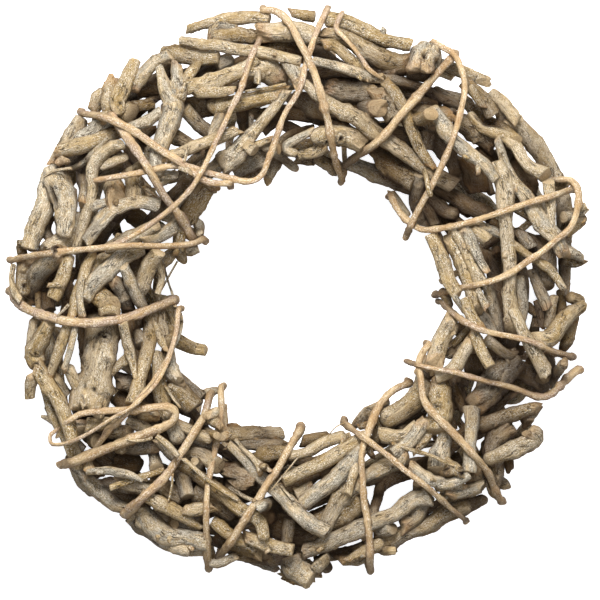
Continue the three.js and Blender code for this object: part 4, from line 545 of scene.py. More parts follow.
# Branches no further apart than this lie beside each other
BESIDE = 3


def apart(p, q):
    return math.hypot(p.x - q.x, p.y - q.y)


def crossings(one, two):
    """The closest place of two branches in each third of the first, seen from above."""
    flat_one = np.array([(p.x, p.y, p.r) for p in one.line])
    flat_two = np.array([(q.x, q.y, q.r) for q in two.line])
    across = np.hypot(
        flat_one[:, None, 0] - flat_two[None, :, 0], flat_one[:, None, 1] - flat_two[None, :, 1]
    )
    depth = flat_one[:, None, 2] + flat_two[None, :, 2] - across
    pair = SimpleNamespace(touch=CLEAR)
    found = []
    for third in range(3):
        start = third * SAMPLES // 3
        part = depth[start:(third + 1) * SAMPLES // 3 + 1]
        i, j = np.unravel_index(np.argmax(part), part.shape)
        if part[i, j] > -BESIDE:
            found.append(SimpleNamespace(
                pair=pair, one=one, two=two, p=one.line[start + i], q=two.line[j],
                joint=False, sign=1, need=0,
            ))
    return found


def fork(found, stem, arm):
    """Arms of one stem grow through each other, and an arm's root lies in its stem."""
    for meeting in found:
        meeting.pair.touch = GROWN
    if arm.stem is stem:
        min(found, key=lambda meeting: meeting.q.u).joint = True


def middle_of(stick):
    return stick.line[SAMPLES // 2]


def span_of(stick):
    return max(apart(middle_of(stick), bead) + bead.r for bead in stick.line) + BESIDE


def all_crossings(pairs):
    found = []
    for one, two in pairs:
        if apart(middle_of(one), middle_of(two)) < one.span + two.span:
            crossed = crossings(one, two)
            if crossed and two.stem is not None and (two.stem is one or two.stem is one.stem):
                fork(crossed, one, two)
            found += crossed
    return found


for stick in sticks + logs + fillers:
    stick.span = span_of(stick)
meetings = all_crossings(
    (one, two) for k, one in enumerate(sticks) for two in sticks[k + 1:]
)


# The pile settles: a branch is lifted or tilted until it clears the others, and stays
# between the floor and the crown. Branches joined to each other are held in touch.
TILT_EASE = 0.6
ROUNDS = 120


def reach_of(meeting, touch):
    """How far apart the middles of two branches are when they touch in this way."""
    return touch.share * (meeting.p.r + meeting.q.r) - touch.sink


def gap_of(meeting):
    """How far the two are above each other, more than they need to be."""
    high = height_at(meeting.one, meeting.p)
    low = height_at(meeting.two, meeting.q)
    return meeting.sign * (high - low) - meeting.need


def move_apart(meeting):
    gap = gap_of(meeting)
    if not meeting.joint and (gap >= 0 or meeting.need == 0):
        return
    one, two, u, v = meeting.one, meeting.two, meeting.p.u, meeting.q.u
    ease = one.give * (1 + TILT_EASE * u * u) + two.give * (1 + TILT_EASE * v * v)
    share = -meeting.sign * gap / ease
    one.lift += share * one.give
    one.tilt += share * one.give * TILT_EASE * u
    two.lift -= share * two.give
    two.tilt -= share * two.give * TILT_EASE * v


def keep_inside(stick, bead):
    lowest = FLOOR + bead.r
    highest = max(lowest, layer_height(bead.x, bead.y, 0, 1) + CROWN_PLAY - bead.r)
    height = height_at(stick, bead)
    wanted = max(lowest, min(height, highest))
    share = (wanted - height) / (1 + TILT_EASE * bead.u * bead.u)
    stick.lift += share
    stick.tilt += share * TILT_EASE * bead.u


def settle(moving, met, rounds):
    """Every meeting is mended in turn, over and over, and the joints once more each time."""
    for meeting in met:
        reach = reach_of(meeting, meeting.pair.touch)
        meeting.need = math.sqrt(max(0, reach * reach - apart(meeting.p, meeting.q) ** 2))
    joints = [meeting for meeting in met if meeting.joint]
    for _ in range(rounds):
        for meeting in met:
            move_apart(meeting)
        for meeting in joints:
            move_apart(meeting)
        for stick in moving:
            for k in (0, SAMPLES // 2, SAMPLES):
                keep_inside(stick, stick.line[k])


# Over and over, the smallest group of branches joins the one that it touches best, slid
# against it where it only lies beside it: so the glued bunches form.
BUNCHES = 36
SLIDE_OVER = 0.4
SLIDE_COST = 3
TINY = 0.001


def best_joint(group, touch):
    """The best meeting of this group with another, or of any two where none is given."""
    best = None
    for meeting in meetings:
        first, second = meeting.one.group, meeting.two.group
        if first is None or second is None or first is second:
            continue
        if group is None:
            moved = first if len(first) < len(second) else second
        elif first is group or second is group:
            moved = group
        else:
            continue
        other = second if moved is first else first
        slide = max(0, apart(meeting.p, meeting.q) - reach_of(meeting, touch) + SLIDE_OVER)
        score = abs(gap_of(meeting)) + SLIDE_COST * slide + touch.size_cost * len(other)
        if best is None or score < best.score:
            best = SimpleNamespace(
                meeting=meeting, moved=moved, other=other, slide=slide, score=score,
            )
    return best


def slide_against(group, meeting, slide):
    p, q = meeting.p, meeting.q
    share = (-1 if meeting.one.group is group else 1) * slide / max(apart(p, q), TINY)
    x, y = share * (p.x - q.x), share * (p.y - q.y)
    for stick in group:
        stick.slid = stick.slid + (x, y, 0)
        for bead in stick.line:
            bead.x += x
            bead.y += y


def join(found, touch):
    """The smaller group slides against the other and becomes part of it."""
    slide_against(found.moved, found.meeting, found.slide)
    found.meeting.joint = True
    found.meeting.pair.touch = touch
    for stick in found.moved:
        found.other.append(stick)
        stick.group = found.other


def form_bunches(groups):
    """The bunches, and the branches left over because they touch no other."""
    for group in groups:
        for stick in group:
            stick.group = group
    loose = []
    while len(groups) > BUNCHES:
        groups.sort(key=len, reverse=True)
        group = groups.pop()
        found = best_joint(group, FUSED)
        if found is not None:
            join(found, FUSED)
            continue
        for stick in group:
            stick.group = None
            loose.append(stick)
    return groups, loose


def take_in(late):
    """Each of these branches joins the bunch that it touches best. Those left are returned."""
    for stick in late:
        stick.group = [stick]
        found = best_joint(stick.group, FUSED)
        if found is None:
            stick.group = None
        else:
            join(found, FUSED)
    return [stick for stick in late if stick.group is None]


def rest_on_each_other(groups):
    """The bunches are brought in touch with each other, until all are one heap."""
    for group in groups:
        for stick in group:
            stick.group = group
    found = best_joint(None, RESTING)
    while found is not None:
        join(found, RESTING)
        found = best_joint(None, RESTING)


def set_signs(met):
    """At each meeting, the branch that lies higher stays the upper one."""
    for meeting in met:
        meeting.sign = 1 if meeting.p.z >= meeting.q.z else -1


set_signs(meetings)
settle(sticks, meetings, ROUNDS)
trees = [
    [stick for stick in sticks if stick is stem or stick.stem is stem]
    for stem in sticks if stem.stem is None
]
bunches, loose = form_bunches(trees)
late_meetings = all_crossings(
    (one, log) for k, log in enumerate(logs) for one in sticks + logs[:k]
)
set_signs(late_meetings)
meetings += late_meetings
sticks += logs
settle(sticks, meetings, ROUNDS)
take_in(take_in(logs + loose))
rest_on_each_other([list(bunch) for bunch in bunches])
settle(sticks, meetings, 2 * ROUNDS)
piled = [stick for bunch in bunches for stick in bunch]

# Small branches fill in round the others: the thin and the deep ones of the list, the bits
# that show dark in the gaps between them, and more at the back. They are pushed in last, so
# they give way to the branches that lie there.
BACK_FILLERS = 6
BITS_IN_GAPS = [
    [4, [-168, 92, 4], [-155, 98, 5], [-143, 107, 4]],
    [3, [-166, 93, 3], [-161, 83, 3], [-157, 72, 3]],
    [4, [-122, 120, 4], [-113, 112, 5], [-103, 104, 4]],
    [4, [-112, 114, 4], [-100, 122, 4]],
    [4, [-122, 108, 3.5], [-115, 100, 4], [-108, 90, 3.5]],
    [3, [-142, 86, 3], [-132, 90, 4], [-122, 94, 3]],
    [4, [-74, 156, 4], [-64, 160, 5], [-54, 166, 4]],
    [4, [-54, 158, 3], [-44, 165, 4], [-34, 172, 3]],
    [4, [-50, 148, 3], [-40, 150, 4], [-28, 152, 4]],
    [4, [-42, 134, 3], [-38, 127, 5], [-38, 116, 3]],
    [4, [-25, 118, 3], [-14, 127, 3]],
    [4, [-70, 93, 3], [-66, 100, 3.5], [-60, 108, 3]],
    [1.5, [-14, 105, 2.5], [-12, 111, 2.5], [-4, 117, 2.5], [11, 122, 2]],
    [3, [-2, 98, 3.5], [11, 96, 3]],
    [3, [-2, 108, 4], [10, 109, 4]],
    [3, [-44, 86, 3], [-34, 88, 4], [-24, 95, 3.5]],
    [1.5, [-70, 86, 4], [-57, 76, 3.5]],
    [2, [-76, 60, 3], [-70, 52, 3], [-68, 45, 2.5]],
    [4, [-98, 24, 4], [-90, 32, 4], [-84, 38, 3]],
    [4, [-101, 4, 3], [-98, 20, 3]],
    [3, [-130, 54, 3], [-119, 64, 3]],
    [3, [-100, 55, 3], [-92, 49, 3]],
    [3, [-182, 34, 3], [-172, 42, 3]],
    [3, [-155, 34, 3], [-154, 22, 3]],
    [4, [-182, 4, 4], [-174, 14, 5], [-167, 22, 4]],
    [4, [-164, -12, 4], [-161, 0, 4], [-157, 10, 3.5]],
    [4, [-141, 14, 3], [-134, 10, 3.5], [-128, 2, 3]],
    [3, [-196, 6, 3], [-186, -4, 3]],
    [4, [8, 177, 4], [16, 173, 5], [26, 168, 4], [34, 167, 3]],
    [4, [5, 160, 3], [10, 150, 3]],
    [4, [14, 155, 3], [28, 155, 3.5], [44, 152, 3]],
    [4, [46, 128, 3], [56, 122, 3]],
    [4, [68, 160, 3], [80, 159, 3]],
    [4, [70, 147, 3.5], [84, 145, 3.5]],
    [4, [86, 142, 3], [96, 138, 3]],
    [2, [96, 180, 4], [97, 170, 3.5], [95, 160, 4]],
    [4, [100, 161, 3], [110, 157, 3]],
    [4, [96, 149, 3], [106, 145, 3.5], [116, 141, 3]],
    [4, [104, 137, 3], [110, 130, 3]],
    [2, [116, 143, 3.5], [124, 134, 4.5], [132, 127, 4.5], [139, 123, 4]],
    [3, [126, 105, 3], [134, 101, 4.5], [143, 101, 4]],
    [4, [131, 88, 3], [136, 74, 3]],
    [3, [151, 75, 3], [154, 66, 3]],
    [3, [178, 78, 3], [192, 83, 2.5]],
    [2, [186, 58, 4], [196, 60, 3.5], [203, 64, 1.5]],
    [2, [188, 46, 4], [196, 51, 3], [202, 55, 2]],
    [2, [186, 30, 5], [194, 27, 4], [200, 29, 3]],
    [3, [66, 77, 2.5], [71, 70, 3], [78, 59, 3]],
    [3, [84, 56, 3], [94, 53, 3]],
    [3, [98, 62, 3], [100, 52, 3]],
    [4, [96, 50, 3.5], [100, 40, 4], [103, 30, 3]],
    [3, [108, 67, 2.5], [122, 60, 2.5]],
    [3, [132, 57, 3], [143, 51, 3]],
    [3, [128, 36, 3.5], [136, 41, 4], [143, 46, 3.5]],
    [4, [139, 36, 3], [141, 20, 3]],
    [3, [-184, -10, 3], [-180, -20, 3]],
    [3, [-144, -2, 3], [-140, -12, 3]],
    [3, [-112, -10, 3], [-110, -20, 3]],
    [3, [-94, 0, 3.5], [-89, -9, 4], [-87, -18, 3]],
    [3, [-125, -44, 3], [-116, -51, 2.5]],
    [3, [-172, -50, 3], [-167, -58, 3.5], [-162, -66, 3]],
    [3, [-147, -80, 2.5], [-138, -82, 3], [-128, -81, 2.5]],
    [3, [-157, -98, 3], [-150, -105, 3.5]],
    [4, [-144, -108, 4], [-136, -113, 4.5], [-128, -119, 4]],
    [4, [-119, -105, 2.5], [-112, -113, 2.5]],
    [4, [-97, -92, 3], [-90, -99, 3]],
    [3, [-110, -126, 2.5], [-102, -129, 2.5]],
    [3, [-69, -88, 3], [-56, -95, 3]],
    [2, [-70, -67, 3], [-64, -65, 3.5], [-57, -63, 2.5]],
    [2, [-64, -80, 3], [-55, -78, 3]],
    [2, [-84, -54, 4], [-74, -64, 4.5], [-68, -70, 4]],
    [3, [-48, -158, 3], [-38, -149, 3]],
    [3, [-64, -151, 3], [-56, -147, 2.5]],
    [2, [-28, -146, 4], [-20, -142, 4.5], [-8, -146, 3.5]],
    [3, [-18, -97, 2.5], [-6, -102, 2.5]],
    [3, [-26, -115, 2.5], [-18, -123, 2.5]],
    [2, [-62, -184, 3], [-55, -184, 3.5], [-44, -178, 3]],
    [1.5, [-3, -190, 10], [9, -194, 9]],
    [2, [14, -180, 4], [18, -186, 4], [21, -192, 3.5]],
    [3, [-6, -173, 3], [2, -177, 3]],
    [3, [108, -31, 3], [120, -21, 3]],
    [3, [103, -40, 3], [110, -34, 3]],
    [3, [86, -48, 3], [94, -54, 3]],
    [3, [113, -55, 2.5], [120, -59, 2.5]],
    [3, [150, -34, 3], [158, -36, 3]],
    [2, [186, -43, 3], [182, -50, 3.5], [179, -60, 3]],
    [2, [154, -58, 3], [165, -62, 3.5], [176, -63, 3]],
    [4, [146, -70, 4], [154, -69, 4.5], [161, -64, 3]],
    [3, [129, -80, 2.5], [138, -69, 2.5]],
    [4, [104, -80, 3], [111, -90, 3]],
    [3, [124, -96, 3], [134, -91, 2.5]],
    [2, [70, -90, 3], [78, -86, 3.5], [87, -79, 3]],
    [3, [52, -80, 3.5], [56, -90, 4], [53, -101, 4]],
    [3, [42, -90, 2.5], [49, -87, 2]],
    [3, [87, -102, 2.5], [96, -99, 3]],
    [3, [48, -101, 2.5], [52, -110, 2.5]],
    [3, [48, -129, 2.5], [60, -124, 2.5]],
    [3, [24, -137, 2.5], [34, -128, 2.5]],
    [3, [6, -146, 3], [15, -142, 3], [25, -138, 3]],
    [3, [-6, -133, 2.5], [1, -141, 2.5]],
    [2, [119, -130, 4], [124, -124, 4.5], [124, -116, 3.5]],
    [2, [136, -124, 5], [144, -130, 4.5], [147, -133, 3]],
    [2, [138, -112, 4], [147, -112, 4], [149, -120, 3]],
    [3, [88, -150, 3], [98, -141, 3]],
    [2, [54, -174, 3], [62, -175, 3.5], [68, -175, 3]],
    [2, [28, -182, 3.5], [38, -182, 4], [48, -180, 4]],
    [3, [167, 0, 2.5], [170, -8, 3], [171, -20, 2.5]],
    [3, [-122, 62, 4], [-114, 58, 6], [-106, 53, 4]],
    [3, [148, 66, 3], [156, 62, 3.5], [163, 57, 3]],
    [3, [-14, 124, 3.5], [-6, 121, 4], [2, 118, 3]],
    [3, [76, 158, 3.5], [85, 157, 4.5], [93, 155, 3.5]],
    [3, [-90, 84, 3], [-82, 88, 3.5], [-73, 98, 3.5], [-66, 104, 3]],
    [3, [126, -8, 3], [132, -14, 4], [137, -21, 3]],
    [3, [-66, -80, 3], [-60, -84, 4], [-53, -88, 3]],
    [3, [183, 6, 3], [184, -3, 4], [184, -12, 3]],
    [3, [100, 8, 3], [104, 2, 3.5], [107, -6, 3]],
    [3, [-124, 139, 3], [-116, 143, 4], [-108, 146, 3]],
    [2, [-194, 40, 3], [-194, 34, 4], [-192, 26, 3]],
]
# Places where daylight shows through the ring, which no branch at the back may cover
DAYLIGHT = [
    [-153, -34], [-152, -44], [-152, -53], [-105, 138], [-88, 117], [-75, 122], [-64, 126],
    [-28, 125],
    [-155, 83], [-142, 53], [-132, 48], [-122, 50], [-86, 75], [68, 113], [94, 102], [123, 115],
    [125, 106], [137, 70], [104, 30], [135, 26], [67, -135], [75, -131], [60, -142], [131, -97],
    [113, -62], [147, -72], [-118, -50], [-114, -63], [-105, -108], [-103, -117], [-52, -152],
    [-46, -150], [164, -10], [172, -18], [165, 0], [88, -108], [106, -108], [45, -138], [-12, -161],
    [-73, 49], [-97, 45], [74, 69], [154, 58], [114, 61], [80, 62], [-89, -175], [85, 39],
    [-13, 92], [-67, 130], [-26, 130], [-108, 138], [-78, -56], [2, -89], [-65, 42],
    [25, -133], [46, -80], [75, 186], [162, -124], [162, 50],
]
CLEAR_OF_DAYLIGHT = 1
# Nor may it reach past the ring's inner or outer edge
BACK_EDGES = (94, 194)


def hour_of(places):
    x, y, _ = places[len(places) // 2]
    return round(math.atan2(x, y) / math.pi * 6) % 12 or 12


def over_daylight(stick):
    """Whether a branch would cover one of the places where daylight shows."""
    return any(
        math.hypot(bead.x - x, bead.y - y) < bead.r + CLEAR_OF_DAYLIGHT
        for bead in stick.line for x, y in DAYLIGHT
    )


def past_an_edge(stick):
    return any(
        not BACK_EDGES[0] < math.hypot(bead.x, bead.y) < BACK_EDGES[1] for bead in stick.line
    )


bits = [make_stick(hour_of(places), layer, places) for layer, *places in BITS_IN_GAPS]
fillers += bits
for hour in range(1, 13):
    for layer, *places in back_branches(hour, BACK_FILLERS):
        filler = make_stick(hour, layer, places)
        if not over_daylight(filler) and not past_an_edge(filler):
            fillers.append(filler)
for filler in fillers:
    filler.span = span_of(filler)
for stick in piled:
    stick.give = 0
# Thin twigs of a layer under 1 lie loose on the front, and are laid there last of all
draped = [filler for filler in fillers if 0 <= filler.layer < 1]
fillers = [filler for filler in fillers if not 0 <= filler.layer < 1]
filled = all_crossings(
    [(stick, filler) for stick in piled for filler in fillers]
    + [(one, two) for k, one in enumerate(fillers) for two in fillers[k + 1:]]
)
set_signs(filled)
for meeting in filled:
    if meeting.one.give == 0 and any(meeting.two is bit for bit in bits):
        meeting.sign = 1
settle(fillers, filled, ROUNDS)


def colour_of(red, green, blue):
    """A colour as it is seen, from 0 to 255, as the light that it stands for."""
    parts = [part / 255 for part in (red, green, blue)]
    return [part / 12.92 if part < 0.04 else ((part + 0.055) / 1.055) ** 2.4 for part in parts] + [1]


def add_node(tree, kind, inputs=None, **settings):
    """A shader node with these settings; an input is a number, a colour or another's output."""
    made = tree.nodes.new(kind)
    for name, value in settings.items():
        setattr(made, name, value)
    for name, value in (inputs or {}).items():
        if isinstance(value, bpy.types.NodeSocket):
            tree.links.new(value, made.inputs[name])
        else:
            made.inputs[name].default_value = value
    return made


# A Mix node has sockets of the same name for numbers, vectors and colours, so they are counted
MIX_SHARE, MIX_FIRST, MIX_SECOND, MIX_RESULT = 0, 6, 7, 2


def mixed(tree, share, first, second):
    """One colour changing into another by a share."""
    given = {MIX_SHARE: share, MIX_FIRST: first, MIX_SECOND: second}
    return add_node(tree, "ShaderNodeMix", given, data_type="RGBA").outputs[MIX_RESULT]


def maths(tree, operation, first, second=0.0):
    return add_node(tree, "ShaderNodeMath", {0: first, 1: second}, operation=operation).outputs[0]


def times(tree, first, second):
    return maths(tree, "MULTIPLY", first, second)


def plus(tree, first, second):
    return maths(tree, "ADD", first, second)


def minus(tree, first, second):
    return maths(tree, "SUBTRACT", first, second)


def ranged(tree, value, low, high, floor=0.0, ceiling=1.0):
    """A value from low to high, spread smoothly from floor to ceiling."""
    return add_node(
        tree, "ShaderNodeMapRange",
        {"Value": value, "From Min": low, "From Max": high, "To Min": floor, "To Max": ceiling},
        interpolation_type="SMOOTHSTEP",
    ).outputs[0]


def new_group(name, inputs, outputs):
    """A shader node group: inputs are names and plain values, outputs are names."""
    group = bpy.data.node_groups.new(name, "ShaderNodeTree")
    for title, value in inputs.items():
        kind = "NodeSocketFloat" if value is not None else "NodeSocketVector"
        socket = group.interface.new_socket(title, in_out="INPUT", socket_type=kind)
        if value is not None:
            socket.default_value = value
    for title in outputs:
        group.interface.new_socket(title, in_out="OUTPUT", socket_type="NodeSocketFloat")
    start = group.nodes.new("NodeGroupInput")
    finish = group.nodes.new("NodeGroupOutput")
    return group, start.outputs, finish.inputs


# Weathered wood seen close to: fibres that run along it, with dark cracks between some of
# them, a pale dust of lifted fibre ends, dark flecks, and patches and stains that are larger.
# Places along the wood are in millimetres. Each effect comes from a noise about 0.5, and
# grows from nothing to its whole between these two values of it.
FIBRES = (0.34, 0.66)
PATCHES = (0.38, 0.6)
STAINS = (0.42, 0.6)
DUST_GRAINS = (0.5, 0.61)
DUSTY_PLACES = (0.4, 0.58)
FLECKS = (0.42, 0.34)
CRACKED_PLACES = (0.47, 0.6)
# Cracks lie where another noise is no further from its middle than this
CRACK_BREADTH = 0.045
PATCH_STRETCH = 2.4
# Skin of the vine: smooth, tan to honey coloured, with streaks along it and grey dust, most on top,
# where it also paints a highlight, and painted shade on its sides and underneath, in its grooves and
# inside the pile.
DUST_STRETCH = 1.9


def weathering():
    """The effects of weather on wood, as a group that each material gives its own sizes."""
    group, given, result = new_group(
        "weathering",
        {
            "Place": None, "Fibre Width": 0.8, "Fibre Length": 14.0, "Crack Width": 2.0,
            "Dust Size": 0.7, "Patch Size": 9.0,
        },
        ["Fibres", "Cracks", "Dust", "Flecks", "Patches", "Stains"],
    )

    def noise(width, length, detail, roughness, distortion=0.0):
        """A noise of grains with this width and length, drawn out along the wood."""
        narrow = maths(group, "DIVIDE", 1.0, width)
        long = maths(group, "DIVIDE", 1.0, length)
        stretch = add_node(group, "ShaderNodeCombineXYZ", {"X": narrow, "Y": narrow, "Z": long})
        place = add_node(
            group, "ShaderNodeVectorMath", {0: given["Place"], 1: stretch.outputs[0]},
            operation="MULTIPLY",
        )
        return add_node(
            group, "ShaderNodeTexNoise",
            {
                "Vector": place.outputs[0], "Scale": 1.0, "Detail": detail,
                "Roughness": roughness, "Distortion": distortion,
            },
        ).outputs

    fibre_length = given["Fibre Length"]
    fibres = noise(given["Fibre Width"], fibre_length, detail=4.0, roughness=0.62)["Fac"]
    splits = noise(
        given["Crack Width"], fibre_length, detail=2.0, roughness=0.5, distortion=0.6,
    )["Fac"]
    off_middle = maths(group, "ABSOLUTE", minus(group, splits, 0.5))
    thin = ranged(group, off_middle, CRACK_BREADTH, 0.0)
    cracked = noise(given["Patch Size"], fibre_length, detail=1.0, roughness=0.5)["Fac"]
    patch_length = times(group, given["Patch Size"], PATCH_STRETCH)
    broad = noise(given["Patch Size"], patch_length, detail=4.0, roughness=0.62)
    channels = add_node(group, "ShaderNodeSeparateColor", {"Color": broad["Color"]}).outputs
    stains = ranged(group, channels["Green"], *STAINS)
    dust_length = times(group, given["Dust Size"], DUST_STRETCH)
    dust = noise(given["Dust Size"], dust_length, detail=3.0, roughness=0.75)["Fac"]
    dusty = ranged(group, channels["Blue"], *DUSTY_PLACES, floor=0.25)
    stained = ranged(group, stains, 0.0, 1.0, floor=0.5)
    effects_made = {
        "Fibres": ranged(group, fibres, *FIBRES),
        "Cracks": times(group, thin, ranged(group, cracked, *CRACKED_PLACES)),
        "Dust": times(group, ranged(group, dust, *DUST_GRAINS), dusty),
        "Flecks": times(group, ranged(group, dust, *FLECKS), stained),
        "Patches": ranged(group, broad["Fac"], *PATCHES),
        "Stains": stains,
    }
    for title, made in effects_made.items():
        group.links.new(made, result[title])
    return group


weathering_group = weathering()


def read(tree, name):
    """What the mesh says of this name at each point."""
    return add_node(tree, "ShaderNodeAttribute", attribute_name=name).outputs["Fac"]


def effects(tree, **values):
    """The weathering group, at the wood's own places, with these values."""
    made = add_node(tree, "ShaderNodeGroup", node_tree=weathering_group)
    grain = add_node(tree, "ShaderNodeAttribute", attribute_name="grain")
    tree.links.new(grain.outputs["Vector"], made.inputs["Place"])
    for title, value in values.items():
        made.inputs[title.replace("_", " ").title()].default_value = value
    return made.outputs


def new_material(name, roughness):
    material = bpy.data.materials.new(name)
    material.use_nodes = True
    shader = material.node_tree.nodes["Principled BSDF"]
    shader.inputs["Roughness"].default_value = roughness
    shader.inputs["Specular IOR Level"].default_value = 0.25
    return material, material.node_tree, shader


def layered(tree, skin, layers):
    """A colour with other colours over it, each by its share."""
    for share, colour in layers:
        skin = mixed(tree, share, skin, colour)
    return skin


def finish_skin(tree, shader, skin, relief, strength, depth):
    """The colour and the relief, this deep in metres, go to the shader."""
    tree.links.new(skin, shader.inputs["Base Color"])
    bump = {"Strength": strength, "Distance": depth, "Height": relief}
    tree.links.new(add_node(tree, "ShaderNodeBump", bump).outputs[0], shader.inputs["Normal"])


def fibrous(tree, wood):
    """Relief of the fibres and of the dust on them."""
    return plus(tree, times(tree, wood["Fibres"], 0.7), times(tree, wood["Dust"], 0.3))


# Bark and bare wood of the branches: warm beige with ochre patches, some of it bleached grey,
# dusted white most where it faces up, which paints a highlight there too, dark in cracks,
# with painted shade in brown on the sides, underneath, in grooves, pits and holes and inside
# the pile, dark at knots, cream with rings on a sawn end, and orange where it was torn.
BEIGE = colour_of(226, 204, 168)
OCHRE = colour_of(184, 154, 98)
BLEACHED = colour_of(188, 178, 158)
DUST_AND_HIGHLIGHT = colour_of(250, 241, 222)
FLECK = colour_of(84, 60, 34)
SHADED = colour_of(106, 76, 38)
PILE_SHADE = colour_of(56, 31, 6)
CRACK_AND_HOLLOW_SHADE = colour_of(34, 18, 5)
SAWN = colour_of(232, 206, 164)
YEAR_RING = colour_of(184, 142, 94)
TORN = colour_of(184, 132, 78)
RINGS_A_MILLIMETRE = 0.6
RING_WAVER = 3.0

bark, tree, shader = new_material("weathered bark", 0.92)
wood = effects(
    tree, fibre_width=0.8, fibre_length=9, crack_width=2.4, dust_size=0.62, patch_size=7.5,
)
tone = read(tree, "tone")
# How much the wood faces up, which places the dust with a painted highlight on top and painted shade on
# the sides and underneath
worn = read(tree, "worn")
from_middle = times(tree, read(tree, "from_middle"), 2 * math.pi * RINGS_A_MILLIMETRE)
wavering = plus(tree, from_middle, times(tree, wood["Patches"], RING_WAVER))
year_rings = ranged(tree, maths(tree, "SINE", wavering), 0.0, 1.0, ceiling=0.4)
sawn_face = layered(tree, SAWN, [
    (year_rings, YEAR_RING),
    (times(tree, wood["Flecks"], 0.35), FLECK),
])
ochre = plus(tree, times(tree, wood["Patches"], 0.6), ranged(tree, tone, 0.65, 0.0, ceiling=0.6))
skin = layered(tree, BEIGE, [
    (ochre, OCHRE),
    (times(tree, wood["Stains"], ranged(tree, tone, 0.45, 0.85, floor=0.15)), BLEACHED),
    (times(tree, minus(tree, 1.0, wood["Fibres"]), 0.45), FLECK),
    (wood["Flecks"], FLECK),
    # pale dust, most on top, where it also paints a highlight
    (times(tree, wood["Dust"], ranged(tree, worn, 0.2, 1.0, floor=0.15)), DUST_AND_HIGHLIGHT),
    (times(tree, wood["Cracks"], 0.8), CRACK_AND_HOLLOW_SHADE),
    # painted shade in brown on the sides and underneath
    (ranged(tree, worn, 0.85, 0.15, ceiling=0.62), SHADED),
    (times(tree, read(tree, "torn"), 0.5), TORN),
    (times(tree, read(tree, "cut"), 0.85), sawn_face),
    # painted shade inside the pile
    (times(tree, read(tree, "deep"), 0.85), PILE_SHADE),
    # dark knots, and painted shade in grooves, pits and holes
    (read(tree, "knot_and_hollow_shade"), CRACK_AND_HOLLOW_SHADE),
])
sunk = plus(tree, wood["Cracks"], times(tree, wood["Flecks"], 0.4))
finish_skin(tree, shader, skin, minus(tree, fibrous(tree, wood), sunk), strength=1.0, depth=0.0008)

# Each branch is drawn out along its line from a plain closed rod, and gets lumps, ridges,
# the scars of its side twigs, and ends that are sawn, worn round or broken off.
RING_STEP = 1.7
SIDE_STEP = 1.7
FEWEST_SIDES = 12
MOST_SIDES = 44
# Rods get rings by eights, so that many are of the same plain kind
RINGS_TOGETHER = 8
# Rings of an end, from its middle out: share of the radius, and how far back in radii
SAWN_END = np.array([(0.1, 0.02), (0.45, 0), (0.8, 0), (0.95, 0.02), (1, 0.09), (1, 0.25)])
WORN_END = np.array([(0.1, 0), (0.4, 0.05), (0.7, 0.17), (0.9, 0.38), (1, 0.7)])

plain_rods = {}


def plain_rod(sides, rings):
    """A straight closed rod with this many rings of corners, kept for the next of its kind."""
    if (sides, rings) not in plain_rods:
        shape = bmesh.new()
        bmesh.ops.create_cone(
            shape, cap_ends=True, segments=sides, radius1=1, radius2=1, depth=rings - 1,
        )
        long_edges = [
            edge for edge in shape.edges if abs(edge.verts[0].co.z - edge.verts[1].co.z) > 0.5
        ]
        bmesh.ops.subdivide_edges(shape, edges=long_edges, cuts=rings - 2, use_grid_fill=True)
        mesh = bpy.data.meshes.new("plain_rod")
        shape.to_mesh(mesh)
        shape.free()
        corners = np.array([vertex.co for vertex in mesh.vertices])
        ring = np.rint(corners[:, 2] + (rings - 1) / 2).astype(int)
        plain_rods[sides, rings] = mesh, ring, np.arctan2(corners[:, 1], corners[:, 0])
    return plain_rods[sides, rings]


def waves(chance, places, sizes, scale=1):
    """A smooth random line over these places: one wave of each (length, height)."""
    line = np.zeros_like(places)
    for length, height in sizes:
        line += height * scale * np.sin(2 * math.pi * (places / length + chance.random()))
    return line


def along_curve(points):
    """Length along a line at each of its points."""
    steps = np.linalg.norm(np.diff(points[:, :3], axis=0), axis=1)
    return np.concatenate([[0], np.cumsum(steps)])


def directions(points):
    """Unit vectors along, up and to the side at each point of a line, without any twist."""
    ahead = np.gradient(points, axis=0)
    ahead /= np.linalg.norm(ahead, axis=1)[:, None]
    up = np.array((0.0, 0.0, 1.0))
    ups = []
    for tangent in ahead:
        up = up - tangent * up.dot(tangent)
        up /= np.linalg.norm(up)
        ups.append(up)
    ups = np.array(ups)
    return ahead, ups, np.cross(ups, ahead)


def rod_rings(length, radii, ends, step):
    """Places along a rod of its rings, and each ring's share of the radius."""
    start, finish = ends[0] * (1, radii[0]), ends[1] * (1, radii[1])
    body_start, body_finish = start[-1, 1], length - finish[-1, 1]
    eights = max(1, int((body_finish - body_start) / (RINGS_TOGETHER * step) + 0.5))
    count = RINGS_TOGETHER * eights
    body = np.linspace(body_start, body_finish, count + 2)[1:-1]
    places = np.concatenate([start[:, 1], body, length - finish[::-1, 1]])
    shares = np.concatenate([start[:, 0], np.ones(count), finish[::-1, 0]])
    return places, shares


UNEVEN = 0.7


def crooked(chance, places, every, size):
    """A random line over these places that turns sharply at uneven steps."""
    count = max(1, int(places[-1] / every + 0.5)) + 1
    turns = np.linspace(0, places[-1], count)
    turns[1:-1] += UNEVEN * every * (chance.random(count - 2) - 0.5)
    return np.interp(places, turns, size * chance.standard_normal(count))


CURVE_STEP = 0.5
# A branch is bent less up and down than sideways
RISE_SHARE = 0.6
# A rod that comes down to the floor lies with its middle this many radii up
OFF_FLOOR = 1.15


